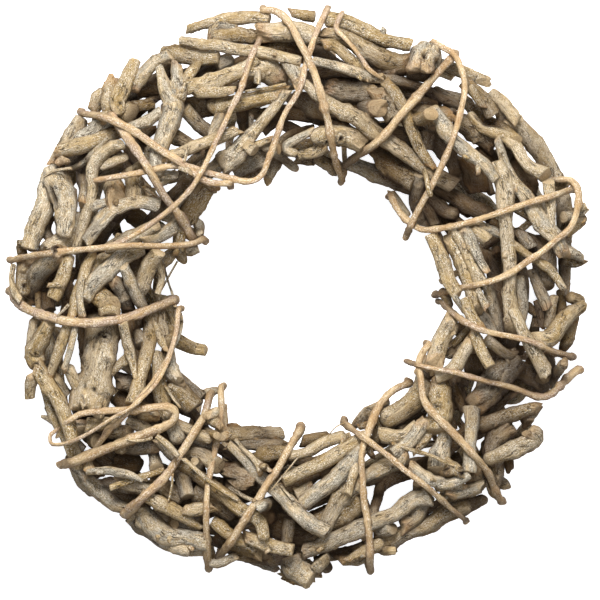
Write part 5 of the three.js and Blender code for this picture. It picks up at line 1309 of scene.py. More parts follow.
def bent_line(line, chance, character):
    """A rod's line of (x, y, z, radius) in fine steps, made crooked, and its directions."""
    lengths = along_curve(line)
    fine = np.linspace(0, lengths[-1], int(lengths[-1] / CURVE_STEP) + 2)
    curve = np.array([np.interp(fine, lengths, column) for column in line.T])
    vectors = directions(curve[:3].T)
    _, up, side = vectors
    bend = character.crook * np.mean(line[:, 3])
    wander = crooked(chance, fine, character.bend_every, bend)
    rise = crooked(chance, fine, character.bend_every, RISE_SHARE * bend)
    curve[:3] += (side * wander[:, None] + up * rise[:, None]).T
    curve[2] = np.maximum(curve[2], OFF_FLOOR * curve[3])
    return fine, curve, vectors


JOINT_EVERY = 14
# Half the length of the shortest swelling, and of a step from thick to thin
SHORTEST_JOINT = 1.6
STEP_LENGTH = 1.5
# Waves along a rod that make it thicker and thinner: length, and share of a joint's height
THICKER = [(7.3, 0.2), (4.1, 0.15)]


def swollen(radius, places, chance, size):
    """The radius with swellings at uneven steps, where it often gets thinner or thicker too."""
    swelling = np.ones_like(places)
    for _ in range(chance.poisson(places[-1] / JOINT_EVERY)):
        off = places - places[-1] * chance.random()
        height = size * (0.5 + 2 * chance.random())
        swelling += height * np.exp(-(off / (SHORTEST_JOINT + 3 * chance.random())) ** 2)
        swelling += size * (chance.random() - 0.5) * np.tanh(off / STEP_LENGTH)
    return radius * swelling * (1 + waves(chance, places, THICKER, size))


# Nearly a whole turn, in radians, for patterns and ends that may face anywhere
ANY_TURN = 6
# Two and three flats round a rod, as shares of its radius
FLATS = (0.07, 0.04)
# Waves of length and height: how ridges wind, where pits are, and where wood is cracked
WINDING = [(46, 0.7), (15, 0.2)]
PITS_ALONG = [(6.1, 1), (3.7, 0.7)]
PITS_ROUND = [(6.3, 1), (4.1, 0.8)]
CRACKED = [(29, 1), (13, 0.6)]
FEWEST_RIDGES = 3
TOO_MANY_RIDGES = 7
RIDGE_MIDDLE = 0.6
FINE_ROUGH = 0.7
# Wood this far down between two ridges is in a crack, where shade is painted dark
CRACK_DEPTH = 0.22
CRACK_DARK = 4


def barked(turn, place, around, chance, character):
    """Flats, winding ridges and pits of a rod, and the shade painted dark in the cracks between them.
    """
    twist = character.twist * place
    form = 1 + FLATS[0] * np.cos(2 * turn + twist + ANY_TURN * chance.random())
    form += FLATS[1] * np.cos(3 * turn - twist + ANY_TURN * chance.random())
    ridges = chance.integers(FEWEST_RIDGES, TOO_MANY_RIDGES)
    wind = ridges * turn + twist + waves(chance, place, WINDING)
    ridge = np.abs(np.sin(wind / 2 + ANY_TURN * chance.random()))
    form += character.ridge * (ridge - RIDGE_MIDDLE)
    form += character.rough * (
        waves(chance, place, PITS_ALONG) * waves(chance, turn * around, PITS_ROUND)
    )
    form += character.rough * chance.standard_normal(len(form)) * FINE_ROUGH
    cracked = np.clip(waves(chance, place, CRACKED), 0, 1)
    knot_and_hollow_shade = np.clip(CRACK_DEPTH - ridge, 0, 1) * CRACK_DARK * character.crack * cracked
    return form, knot_and_hollow_shade


# How far each mark stands out of the wood or into it, in radii, and how dark it is: a knot's own dark
# wood, and painted shade in holes and cracks
KNOT_BOSS = 0.22
KNOT_DENT = 0.35
KNOT_DARK = 1.3
KNOT_LINE_DARK = 0.6
HOLE_RIM = 0.1
HOLE_DENT = 0.4
CRACK_DENT = 0.15
MARK_DARK = 1.2


def marked(marks, place, round_it_from, form, knot_and_hollow_shade):
    """Knots, holes and cracks that a branch has in a known place.

    A knot is a boss with a dark dent in it and a dark line round it. A hole has a rim that stands out
    a little, and a crack is a narrow dent along the wood; shade is painted dark inside both.
    """
    for mark in marks:
        along = (place - mark.place) / mark.size
        across = round_it_from(mark.turn) / mark.size
        off = along ** 2 + across ** 2
        if mark.kind == "knot":
            form += KNOT_BOSS * np.exp(-off ** 2) - KNOT_DENT * np.exp(-6 * off)
            knot_and_hollow_shade += (
                KNOT_DARK * np.exp(-(5 * off) ** 2)
                + KNOT_LINE_DARK * np.exp(-(4 * (np.sqrt(off) - 0.9)) ** 4)
            )
        elif mark.kind == "hole":
            form += HOLE_RIM * np.exp(-((off - 1) ** 2)) - HOLE_DENT * np.exp(-2 * off ** 2)
            knot_and_hollow_shade += MARK_DARK * np.exp(-3 * off ** 2)
        else:
            crack = np.exp(-along ** 4 - (5 * across) ** 2)
            form -= CRACK_DENT * crack
            knot_and_hollow_shade += MARK_DARK * crack


# A scar's size and the height of its rim, in radii: the second number is how much chance may
# add to the first
SCAR_BREADTH = (0.3, 0.4)
SCAR_RIM = (0.12, 0.22)
SCAR_DENT = 0.2
# The pit of a scar is painted dark as shade
SCAR_DARK = 0.9


def scarred(whole, radius, place, round_it_from, form, knot_and_hollow_shade, chance, character):
    """Scars where side twigs were, with a rim and a small pit that is painted dark as shade."""
    for _ in range(chance.poisson(whole / character.scar_every)):
        spot, facing = whole * chance.random(), 2 * math.pi * chance.random()
        breadth = radius * (SCAR_BREADTH[0] + SCAR_BREADTH[1] * chance.random())
        off = ((place - spot) ** 2 + round_it_from(facing) ** 2) / breadth ** 2
        rim = SCAR_RIM[0] + SCAR_RIM[1] * chance.random()
        form += rim * np.exp(-off) - SCAR_DENT * np.exp(-7 * off)
        knot_and_hollow_shade += SCAR_DARK * np.exp(-9 * off)


# An end's slant and splinters fade out over this many radii, and its torn wood sooner
END_FADE = 3
TORN_FADE = 1.3


def cut_off(whole, turn, place, share, around, ends, sides, chance):
    """How far the slants and splinters of the ends push each corner, and how torn it is."""
    shift = np.zeros_like(place)
    torn = np.zeros_like(place)
    for end, sign, distance in ((ends[0], 1, place), (ends[1], -1, whole - place)):
        fade = np.clip(1 - distance / (END_FADE * around), 0, 1) ** 2 * around
        facing = ANY_TURN * chance.random() if end.facing is None else end.facing
        slanted = end.slant * share * np.cos(turn - facing)
        on_side = np.rint(turn / (2 * math.pi) * sides).astype(int) % sides
        splinters = chance.random(sides)[on_side]
        jagged = end.tear * share * (2 * splinters + np.sin(2 * turn + ANY_TURN * chance.random()))
        shift += sign * fade * (slanted + jagged)
        torn += end.torn * np.clip(TORN_FADE - distance / around, 0, 1)
    return shift, torn


# Within this share of the radius an end shows its face, and beyond it bark
FACE_EDGE = 0.99
# Each rod has the patterns of its skin from a place of its own, up to this far away
PATTERN_REACH = 200
# How much wood faces up: whole on top, and this much on the sides. Dust lies most on top, where it also
# paints a highlight, and shade is painted on the sides and underneath
SIDE_WEAR_AND_SHADE = 0.35


def draw_out(line, chance, ends, character, marks=()):
    """Corners of a rod along a line of (x, y, z, radius), with what the shader reads there."""
    fine, curve, vectors = bent_line(line, chance, character)
    whole = fine[-1]
    radii = (line[0, 3], line[-1, 3])
    places, shares = rod_rings(whole, radii, [end.rings for end in ends], character.step)
    mesh, ring, turn = plain_rod(character.sides, len(places))
    place, share = places[ring], shares[ring]
    radius = np.interp(places, fine, curve[3])
    around = swollen(radius, places, chance, character.lump)[ring]

    def round_it_from(facing):
        return (np.mod(turn - facing + math.pi, 2 * math.pi) - math.pi) * around

    def at_corners(rows):
        return np.array([np.interp(places, fine, row) for row in rows]).T[ring]

    form, knot_and_hollow_shade = barked(turn, place, around, chance, character)
    marked(marks, place, round_it_from, form, knot_and_hollow_shade)
    middle_radius = np.mean(line[:, 3])
    scarred(whole, middle_radius, place, round_it_from, form, knot_and_hollow_shade, chance, character)
    shift, torn = cut_off(whole, turn, place, share, around, ends, character.sides, chance)
    forward, upward, sideways = (at_corners(vector.T) for vector in vectors)
    aside, above = np.cos(turn), np.sin(turn)
    out = sideways * aside[:, None] + upward * above[:, None]
    corners = at_corners(curve[:3]) + out * (around * form * share)[:, None]
    corners += forward * shift[:, None]
    # Worn flat where it lies on the floor
    corners[:, 2] = np.maximum(corners[:, 2], 0)
    fresh = np.where(place < whole / 2, ends[0].fresh, ends[1].fresh)
    inside = around * share
    grain = np.stack([inside * aside, inside * above, place + shift], axis=1)
    # The share that faces up sets the dust and painted highlight on top and the painted shade on the
    # sides and underneath; knots are dark, and shade is painted in grooves, pits and holes
    return mesh, SimpleNamespace(
        corners=corners, grain=grain + PATTERN_REACH * chance.random(3),
        knot_and_hollow_shade=np.clip(knot_and_hollow_shade, 0, 1), cut=np.where(share < FACE_EDGE, fresh, 0.0),
        torn=np.clip(torn, 0, 1), worn=np.clip(SIDE_WEAR_AND_SHADE + (1 - SIDE_WEAR_AND_SHADE) * out[:, 2], 0, 1),
        from_middle=inside, tone=np.full(len(corners), chance.random()),
    )


# Shade is painted on wood from this far inside the pile, and is as dark as it gets this much further in
SHALLOW = 8
DARKENING = 20


def deepness(corners):
    """How far inside the pile a place is: 0 on its front, sides and back, to 1."""
    distance = np.hypot(corners[:, 0], corners[:, 1])
    offset = np.clip((distance - RING_RADIUS) / RING_HALF_WIDTH, -1, 1)
    arch = np.sqrt(1 - offset ** 2)
    under_top = RIM_HEIGHT + CROWN * arch - corners[:, 2]
    over_back = corners[:, 2] - (RIM_HEIGHT - BELLY * arch)
    return np.clip((np.minimum(under_top, over_back) - SHALLOW) / DARKENING, 0, 1)


MILLIMETRE = 0.001
# The middle of the solids as they were laid out, which the frame has at its origin
MIDDLE = np.array([-1.5, 2.7, 0])


def finish_piece(name, rods, material, nodes):
    """One object of these rods, in metres in the frame, with what its material reads."""
    shape = bmesh.new()
    for mesh, _ in rods:
        shape.from_mesh(mesh)
    mesh = bpy.data.meshes.new(name)
    shape.to_mesh(mesh)
    shape.free()

    def joined(title):
        return np.concatenate([getattr(made, title) for _, made in rods])

    corners = joined("corners")
    mesh.vertices.foreach_set("co", ((corners - MIDDLE) * MILLIMETRE).ravel())
    grain = mesh.attributes.new("grain", "FLOAT_VECTOR", "POINT")
    grain.data.foreach_set("vector", joined("grain").ravel())
    read_there = {"deep": deepness(corners)}
    for title in ("tone", "knot_and_hollow_shade", "cut", "torn", "worn", "from_middle"):
        read_there[title] = joined(title)
    for title, values in read_there.items():
        mesh.attributes.new(title, "FLOAT", "POINT").data.foreach_set("value", values)
    mesh.polygons.foreach_set("use_smooth", [True] * len(mesh.polygons))
    mesh.materials.append(material)
    mesh.update()
    piece = bpy.data.objects.new(name, mesh)
    bpy.context.scene.collection.objects.link(piece)
    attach(piece, "root")
    if nodes:
        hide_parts(*nodes)


# Marks that the photograph shows on a branch: [x, y, size, kind]
MARKS = [
    [-136, -28, 5, "knot"], [-141, -62, 2.6, "hole"], [-149, -45, 4, "knot"], [-182, -35, 4, "knot"],
    [-184, -42, 2, "hole"], [-154, -88, 3.5, "hole"], [-165, 35, 4, "knot"], [-194, 8, 3, "hole"],
    [-124, 136, 2.4, "hole"], [97, -120, 4, "knot"], [113, -119, 4, "knot"], [1, -188, 4, "hole"],
    [135, 123, 9, "crack"], [60, 140, 4, "knot"], [-100, 140, 3, "hole"], [20, 110, 3, "hole"],
    [-170, 70, 8, "crack"], [-167, 52, 6, "crack"], [135, -60, 7, "crack"], [88, 168, 3, "hole"],
    [-50, -125, 6, "crack"], [-117, 140, 5, "crack"], [97, -75, 4, "knot"], [30, 112, 5, "knot"],
]
# Ends of branches that it shows clearly: [x, y, kind]
ENDS = [
    [112, 79, "sawn"], [174, 87, "scarf"], [163, -27, "scarf"], [93, -46, "torn"],
    [152, -86, "torn"], [86, -81, "torn"], [95, -133, "torn"], [118, -134, "torn"],
    [-110, -33, "scarf"], [-97, 63, "sawn"], [-130, -7, "scarf"], [-33, 106, "scarf"],
    [119, 51, "scarf"], [-100, 55, "scarf"], [-43, 117, "torn"], [-165, 96, "torn"],
    [-83, -84, "torn"], [-44, 147, "torn"], [-26, 158, "torn"], [-4, 203, "torn"],
    [-163, -88, "torn"], [92, 178, "sawn"],
]
END_WITHIN = 7
LINE_STEPS = 8
# A branch at the back lies under all of the layers in front
UNDERMOST = 9


def shares_of(stick):
    """Places along a branch, from 0 to 1, at which its line is drawn."""
    return np.linspace(0, 1, LINE_STEPS * len(stick.knots) + 1)


def radii_of(stick):
    return np.interp(shares_of(stick), np.linspace(0, 1, len(stick.radii)), stick.radii)


def stick_line(stick):
    """The smooth line of (x, y, z, radius) along a settled branch."""
    shares = shares_of(stick)
    radii = radii_of(stick)
    points = on_curve(stick.knots, shares) + stick.slid
    points[:, 2] += stick.lift + stick.tilt * (2 * shares - 1)
    if stick.give:
        crown = [layer_height(x, y, r, 1) + CROWN_PLAY for (x, y, _), r in zip(points, radii)]
        belly = [layer_height(x, y, r, -1) for (x, y, _), r in zip(points, radii)]
        points[:, 2] = np.maximum(np.minimum(points[:, 2], crown), belly)
    return np.column_stack([points, radii])


def put_mark(x, y, size, kind):
    """The mark goes on the branch that lies uppermost in its place."""
    found = None
    for stick in piled + fillers:
        points = on_curve(stick.knots, shares_of(stick))[:, :2]
        off = np.hypot(points[:, 0] - x, points[:, 1] - y)
        k = off.argmin()
        layer = stick.layer if stick.layer >= 0 else UNDERMOST
        if off[k] < radii_of(stick)[k] and (found is None or layer < found[0]):
            found = layer, stick, k, points
    _, stick, k, points = found
    run = points[min(k + 1, len(points) - 1)] - points[max(k - 1, 0)]
    sideways = (run[0] * (y - points[k, 1]) - run[1] * (x - points[k, 0])) / math.hypot(*run)
    turn = math.acos(max(-1, min(sideways / radii_of(stick)[k], 1)))
    place = along_curve(stick_line(stick))[k]
    stick.marks.append(SimpleNamespace(place=place, turn=turn, size=size, kind=kind))


UPWARDS = math.pi / 2


def end_of_kind(kind, chance):
    """An end that is sawn, cut slanting so that its face looks up, worn round, or torn.

    Its slant and tear are in radii. Fresh is how bare and pale its face is, and torn how
    orange the wood behind it is.
    """
    if kind == "worn":
        return SimpleNamespace(
            rings=WORN_END, slant=0.2, facing=None, tear=0.06, fresh=0.2, torn=0,
        )
    end = SimpleNamespace(
        rings=SAWN_END, facing=None, tear=0.05, fresh=0.4 + 0.5 * chance.random(), torn=0,
    )
    if kind == "sawn":
        end.slant = 0.6 * chance.random() ** 2
    elif kind == "scarf":
        end.slant = 0.75
        end.facing = UPWARDS
    else:
        end.slant = 0.7
        end.tear = 0.35
        end.fresh = 0.3 + 0.5 * chance.random()
        end.torn = chance.random()
    return end


END_SHARES = {"sawn": 0.4, "worn": 0.15, "torn": 0.45}


def any_end(chance):
    """An end of a branch of which the photograph shows no more than that it is one."""
    return end_of_kind(chance.choice(list(END_SHARES), p=list(END_SHARES.values())), chance)


def ends_of(stick, chance):
    ends = []
    for x, y, _ in (stick.knots[0], stick.knots[-1]):
        known = [
            kind for end_x, end_y, kind in ENDS
            if math.hypot(end_x - x, end_y - y) < END_WITHIN
        ]
        ends.append(end_of_kind(known[0], chance) if known else any_end(chance))
    return ends


def sides_for(radius):
    """An even number of sides of about one length, whatever the branch's thickness."""
    return min(MOST_SIDES, max(FEWEST_SIDES, 2 * round(math.pi * radius / SIDE_STEP)))


def branch(stick, chance):
    """A branch as a rod: crooked by a share of its radius, and bent and scarred this often."""
    character = SimpleNamespace(
        sides=sides_for(max(stick.radii)), step=RING_STEP, crook=0.18, bend_every=15, lump=0.06,
        ridge=0.03 + 0.07 * chance.random(), rough=0.018,
        crack=chance.random(), twist=0.04 * (chance.random() - 0.5), scar_every=28,
    )
    return draw_out(stick_line(stick), chance, ends_of(stick, chance), character, stick.marks)


STUB_EVERY = 90
# Where on its branch a stub grows, its share of the branch's radius, and its length out of
# the bark. The second number is how much chance may add to the first.
STUB_PLACE = (0.15, 0.7)
STUB_SHARE = (0.25, 0.25)
STUB_LENGTH = (1, 4.5)
STUB_STEPS = 6
STUB_CHARACTER = SimpleNamespace(
    sides=10, step=1.1, crook=0.1, bend_every=4, lump=0.06, ridge=0.06, rough=0.03,
    crack=0.4, twist=0, scar_every=1000,
)


def side_stubs(stick, chance):
    """Stumps of side twigs, cut or snapped off short."""
    line = stick_line(stick)
    lengths = along_curve(line)
    rods = []
    for _ in range(chance.poisson(lengths[-1] / STUB_EVERY)):
        run = lengths[-1] * (STUB_PLACE[0] + STUB_PLACE[1] * chance.random())
        root = np.array([np.interp(run, lengths, column) for column in line.T])
        k = max(1, min(np.searchsorted(lengths, run), len(line) - 1))
        ahead = (line[k, :3] - line[k - 1, :3]) / (lengths[k] - lengths[k - 1])
        sideways = np.cross((0, 0, 1), ahead)
        facing = math.pi * chance.random()
        lean = sideways * math.cos(facing) + np.cross(ahead, sideways) * math.sin(facing)
        lean += ahead * chance.choice([-1, 1]) * (0.4 + chance.random())
        lean /= np.linalg.norm(lean)
        thickest = root[3] * (STUB_SHARE[0] + STUB_SHARE[1] * chance.random())
        reach = root[3] + STUB_LENGTH[0] + STUB_LENGTH[1] * chance.random()
        shares = np.linspace(0.3, 1, STUB_STEPS)[:, None]
        stub = np.column_stack([root[:3] + lean * reach * shares, thickest * (1.4 - 0.5 * shares)])
        ends = [end_of_kind("worn", chance), any_end(chance)]
        rods.append(draw_out(stub, chance, ends, STUB_CHARACTER))
    return rods


for stick in piled + fillers:
    stick.marks = []
for mark in MARKS:
    put_mark(*mark)
chance = np.random.default_rng(29)
# Each bunch is a piece that stands for its solid, and the small branches of an hour are one
letters = {}
for bunch in bunches:
    hour = bunch[0].hour
    letters[hour] = letters.get(hour, 0) + 1
    place = f"{hour:02d}_{'abcdefgh'[letters[hour] - 1]}"
    rods = [rod for stick in bunch for rod in (branch(stick, chance), *side_stubs(stick, chance))]
    finish_piece(f"weathered_branches_{place}", rods, bark, [f"branches_{place}"])
for hour in range(1, 13):
    rods = [branch(stick, chance) for stick in fillers if stick.hour == hour]
    finish_piece(f"small_branches_{hour:02d}", rods, bark, [])

# The vines that lash the bunches together. Each is a stretch of thin rattan, pulled taut over
# the branches and over the vines below it. They are listed from the lowest up. A vine starts
# at its first end and crosses the front. Its ends go down the side of the ring ("side"), are
# tucked in between branches ("tuck"), or go round the rim and back under the ring ("under").
FINE_STEP = 3
VINE_STEP = 7
SHORTEST_BEND = 6
# Over gaps in the pile a vine runs this far above the rim's height, or this far under it
PILE_TOP = 2
PILE_BOTTOM = 22
# At the ring's side a vine turns down over its shoulder and stands out from the rim
SHOULDER_OUT = 1
SHOULDER_DROP = 7
RIM_OUT = 2.5
SIDE_LOW = 20
SIDE_END = 10
TURN_HEIGHT = 12
UNDER_IN = 7
UNDER_STOP = 4
# The lowest vines are worn flat by this much where they carry the wreath
FLAT = 0.3
TUCK_LENGTH = 5
TUCK_DROP = 4
TUCK_TAPER = 0.8

VINES = {
  "vine_12_b": {
    "radii": [2.8, 1.6], "ends": ["side", "tuck"],
    "front": [
      [20, 203], [15, 192], [11, 182], [8, 172], [5, 163], [1, 146], [-3, 140], [-9, 130],
      [-13, 119], [-17, 108], [-22, 95], [-24, 87], [-33, 82], [-48, 85], [-64, 89], [-83, 94],
      [-115, 88], [-139, 84],
    ],
  },
  "vine_10_c": {
    "radii": [3.2, 3.0], "ends": ["side", "under"],
    "front": [[-130, 128], [-118, 111], [-104, 91], [-91, 69], [-80, 55], [-75, 44]],
    "under": [[-112, 84], [-150, 129]],
  },
  "vine_10_b": {
    "radii": [2.3, 2.2], "ends": ["side", "under"],
    "front": [
      [-151, 131], [-134, 127], [-115, 118], [-95, 104], [-80, 95], [-68, 85], [-59, 81],
      [-48, 81],
    ],
    "under": [[-46, 130], [-32, 190]],
  },
  "vine_10_a": {
    "radii": [2.2, 2.0], "ends": ["side", "tuck"],
    "front": [
      [-27, 182], [-32, 170], [-36, 158], [-40, 146], [-46, 133], [-51, 122], [-57, 110],
      [-67, 89], [-75, 76], [-84, 67], [-95, 58], [-110, 48], [-124, 40], [-140, 35],
    ],
  },
  "vine_09_b": {
    "radii": [2.6, 2.2], "ends": ["side", "under"],
    "front": [
      [-201, 28], [-185, 31], [-167, 33], [-150, 35], [-125, 37], [-100, 38], [-75, 39], [-67, 43],
    ],
    "under": [[-112, 74], [-138, 117]],
  },
  "vine_12_a": {
    "radii": [2.3, 2.3], "ends": ["side", "under"],
    "front": [
      [-24, 203], [-15, 202], [-9, 197], [-5, 191], [2, 178], [7, 168], [12, 155], [16, 142],
      [20, 127], [23, 112], [26, 98], [29, 89], [31, 85],
    ],
    "under": [[30, 140], [22, 196]],
  },
  "vine_12_c": {
    "radii": [1.8, 1.6], "ends": ["tuck", "tuck"],
    "front": [[29, 197], [26, 190], [32, 184], [38, 177], [45, 168], [50, 160], [55, 157]],
  },
  "vine_01_a": {
    "radii": [2.7, 2.5], "ends": ["side", "tuck"],
    "front": [
      [110, 172], [98, 159], [90, 150], [80, 138], [70, 127], [62, 117], [55, 110], [45, 103],
      [36, 97],
    ],
  },
  "vine_02_a": {
    "radii": [2.2, 2.5], "ends": ["side", "under"],
    "front": [
      [65, 74], [69, 65], [76, 56], [87, 49], [100, 50], [110, 52], [122, 55], [135, 59],
      [150, 64], [165, 69], [178, 73], [193, 78],
    ],
    "under": [[148, 42], [97, 12]],
  },
  "vine_01_b": {
    "radii": [2.0, 2.4], "ends": ["tuck", "tuck"],
    "front": [
      [98, 180], [105, 175], [111, 171], [114, 161], [117, 151], [116, 141], [113, 130],
      [111, 120], [107, 110], [103, 99], [97, 87], [91, 76], [86, 67], [81, 57], [77, 48],
    ],
  },
  "vine_02_b": {
    "radii": [2.3, 2.3], "ends": ["tuck", "side"],
    "front": [
      [183, 85], [193, 84], [197, 74], [194, 59], [190, 50], [180, 42], [170, 33], [160, 27],
      [150, 20], [140, 15], [130, 12], [120, 10], [110, 8], [99, 4],
    ],
  },
  "vine_03_a": {
    "radii": [2.5, 2.7], "ends": ["side", "under"],
    "front": [
      [101, -1], [107, -7], [112, -12], [120, -17], [130, -21], [140, -24], [160, -28], [170, -32],
      [180, -36], [192, -40],
    ],
    "under": [[144, -40], [93, -27]],
  },
  "vine_04_a": {
    "radii": [2.4, 2.4], "ends": ["side", "under"],
    "front": [
      [92, -31], [87, -36], [84, -42], [84, -48], [86, -57], [87, -67], [91, -75], [97, -82],
      [104, -89], [112, -97], [120, -106], [127, -113], [133, -121], [137, -130], [143, -141],
    ],
    "under": [[118, -92], [80, -47]],
  },
  "vine_03_b": {
    "radii": [1.8, 2.8], "ends": ["side", "side"],
    "front": [
      [78, -44], [95, -48], [105, -50], [117, -53], [130, -56], [142, -59], [152, -62], [162, -66],
      [171, -68], [178, -66], [184, -60], [190, -54], [197, -49],
    ],
  },
  "vine_05_a": {
    "radii": [2.7, 2.6], "ends": ["side", "under"],
    "front": [
      [79, -58], [69, -62], [58, -72], [53, -82], [50, -90], [46, -100], [44, -110], [45, -120],
      [46, -140], [48, -150], [49, -160], [50, -170], [50, -188],
    ],
    "under": [[46, -140], [33, -91]],
  },
  "vine_05_b": {
    "radii": [2.3, 2.3], "ends": ["side", "under"],
    "front": [
      [33, -86], [40, -92], [52, -101], [58, -105], [66, -111], [72, -117], [80, -123], [88, -129],
      [95, -135], [101, -140], [108, -147], [117, -154],
    ],
    "under": [[100, -104], [78, -64]],
  },
  "vine_06_a": {
    "radii": [2.8, 2.9], "ends": ["side", "under"],
    "front": [
      [2, -91], [-4, -100], [-9, -108], [-15, -119], [-22, -128], [-27, -138], [-33, -148],
      [-40, -158], [-47, -169], [-55, -180],
    ],
    "under": [[-50, -130], [-51, -70]],
  },
  "vine_07_a": {
    "radii": [2.6, 2.8], "ends": ["side", "under"],
    "front": [
      [-54, -62], [-54, -80], [-58, -107], [-63, -130], [-64, -150], [-64, -165], [-62, -187],
    ],
    "under": [[-80, -124], [-66, -62]],
  },
  "vine_07_b": {
    "radii": [2.8, 2.8], "ends": ["side", "under"],
    "front": [
      [-62, -67], [-68, -84], [-75, -97], [-85, -113], [-95, -126], [-104, -134], [-120, -149],
    ],
    "under": [[-120, -96], [-84, -24]],
  },
  "vine_08_c": {
    "radii": [2.4, 3.2], "ends": ["tuck", "tuck"],
    "front": [
      [-159, -83], [-155, -80], [-147, -78], [-128, -77], [-110, -76], [-92, -74], [-85, -77],
      [-86, -84], [-97, -90], [-107, -94], [-120, -99], [-134, -104], [-150, -110], [-163, -115],
    ],
  },
  "vine_08_b": {
    "radii": [1.6, 2.2], "ends": ["tuck", "tuck"],
    "front": [
      [-93, -44], [-99, -54], [-109, -67], [-121, -81], [-130, -88], [-134, -94], [-138, -100],
    ],
  },
  "vine_08_a": {
    "radii": [1.9, 1.3], "ends": ["side", "tuck"],
    "front": [
      [-84, -6], [-85, -20], [-88, -33], [-92, -45], [-98, -57], [-107, -67], [-117, -76],
      [-127, -81], [-141, -90], [-152, -96], [-163, -100], [-171, -101], [-174, -96], [-168, -90],
    ],
  },
  "vine_09_a": {
    "radii": [2.8, 2.8], "ends": ["side", "under"],
    "front": [
      [-201, 6], [-196, -2], [-185, -8], [-175, -11], [-162, -14], [-149, -16], [-135, -15],
      [-122, -13], [-110, -9], [-97, -4], [-89, 0],
    ],
    "under": [[-140, 18], [-197, 25]],
  },
}

# What a vine can rest on: beads along the branches, and along the vines laid before it
laid = np.array([
    (bead.x, bead.y, height_at(stick, bead), bead.r) for stick in piled for bead in stick.line
])


def touch_height(x, y, radius, side):
    """Height at which a vine lies on the pile (side 1) or hangs under it (side -1)."""
    height = side * (RIM_HEIGHT + PILE_TOP if side > 0 else RIM_HEIGHT - PILE_BOTTOM)
    reach = laid[:, 3] + radius + CLEARANCE
    spare = reach ** 2 - (laid[:, 0] - x) ** 2 - (laid[:, 1] - y) ** 2
    touched = side * laid[:, 2] + np.sqrt(np.maximum(spare, 0))
    return side * max(height, np.max(touched[spare > 0], initial=height))


def taut_line(points, side):
    """A taut string over points of (run, height): it touches only those that stand out."""
    hull = []
    for run, height in points:
        while len(hull) > 1:
            (run_0, height_0), (run_1, height_1) = hull[-2:]
            rise = (height_1 - height_0) * (run - run_0) - (height - height_0) * (run_1 - run_0)
            if side * rise > 0:
                break
            hull.pop()
        hull.append((run, height))
    return hull


def bends_of(hull, length):
    """Places where a vine bends: where it lies on a branch, and at even steps between."""
    runs = []
    for (start, _), (finish, _) in zip(hull, hull[1:]):
        steps = max(1, int((finish - start) * length / VINE_STEP + 0.5))
        for part in range(steps):
            run = start + (finish - start) * part / steps
            if not runs or (run - runs[-1]) * length > SHORTEST_BEND:
                runs.append(run)
    return runs + [1]


PLAN_STEPS = 400


def tightened(route, radii, side):
    """A vine pulled tight over the pile (side 1) or under it (side -1), along this route."""
    knots = np.array(route, float)
    shares = np.linspace(0, 1, PLAN_STEPS + 1)
    plan = on_curve(knots, shares)
    lengths = np.concatenate([[0], np.cumsum(np.hypot(*np.diff(plan, axis=0).T))])
    steps = int(lengths[-1] / FINE_STEP + 0.5)

    def place(run):
        return on_curve(knots, np.interp(run * lengths[-1], lengths, shares))

    def radius_at(run):
        return radii[0] + (radii[1] - radii[0]) * run

    marks = [
        (k / steps, touch_height(*place(k / steps), radius_at(k / steps), side))
        for k in range(steps + 1)
    ]
    hull = taut_line(marks, side)
    return [
        np.array([*place(run), np.interp(run, *zip(*hull)), radius_at(run)])
        for run in bends_of(hull, lengths[-1])
    ]


def beside(point, out, height):
    """A point moved away from the ring's middle line, to the height given."""
    distance = math.hypot(point[0], point[1])
    away = (out if distance > RING_RADIUS else -out) / distance
    return np.array([point[0] * (1 + away), point[1] * (1 + away), height, point[3]])


def side_end(point):
    """Down over the ring's shoulder and its side, and in again a little at the end."""
    middle = (point[2] + SIDE_LOW) / 2
    return [
        beside(point, SHOULDER_OUT, point[2] - SHOULDER_DROP),
        beside(point, RIM_OUT, middle),
        beside(point, SHOULDER_OUT, middle - SIDE_END),
    ]


def tucked_end(point, before):
    """On a little way, down between the branches."""
    share = TUCK_LENGTH / math.dist(point[:2], before[:2])
    x, y = point[:2] + (point[:2] - before[:2]) * share
    return [np.array([x, y, point[2] - TUCK_DROP, point[3] * TUCK_TAPER])]


def end_of(point, before, style):
    return tucked_end(point, before) if style == "tuck" else side_end(point)


def round_the_rim(rim, under_route):
    """Round the rim and along under the ring, as low as the surface it all rests on."""
    radius = rim[3]
    start = beside(rim, -UNDER_IN, 0)
    finish = beside(np.array([*under_route[-1], 0, radius]), -UNDER_STOP, 0)
    under = tightened([start[:2], *under_route[:-1], finish[:2]], [radius, radius], -1)
    lowest = min(point[2] for point in under)
    for point in under:
        point[2] += radius - FLAT - lowest
    return [
        beside(rim, SHOULDER_OUT, rim[2] - SHOULDER_DROP),
        beside(rim, RIM_OUT, (rim[2] + SIDE_END) / 2),
        beside(rim, 0, TURN_HEIGHT),
        *under,
    ]


def vine_path(vine):
    """The whole path of a vine, from end to end: its bends with their radii."""
    first, last = vine["ends"]
    front = tightened(vine["front"], vine["radii"], 1)
    if last == "under":
        tail = round_the_rim(front[-1], vine["under"])
    else:
        tail = end_of(front[-1], front[-2], last)
    return np.array(end_of(front[0], front[1], first)[::-1] + front + tail)


BEADS_A_BEND = 4

vine_paths = {}
for name, vine in VINES.items():
    path = vine_path(vine)
    vine_paths[name] = path
    place = np.arange((len(path) - 1) * BEADS_A_BEND) / BEADS_A_BEND
    beads = [np.interp(place, np.arange(len(path)), column) for column in path.T]
    laid = np.vstack([laid, np.transpose(beads)])

# Skin of the vine: smooth, tan to honey coloured, with streaks along it and grey dust.
HONEY = colour_of(184, 150, 104)
STRAW = colour_of(206, 180, 138)
PINKISH = colour_of(172, 148, 130)
STREAK_AND_HOLLOW_SHADE = colour_of(104, 74, 46)

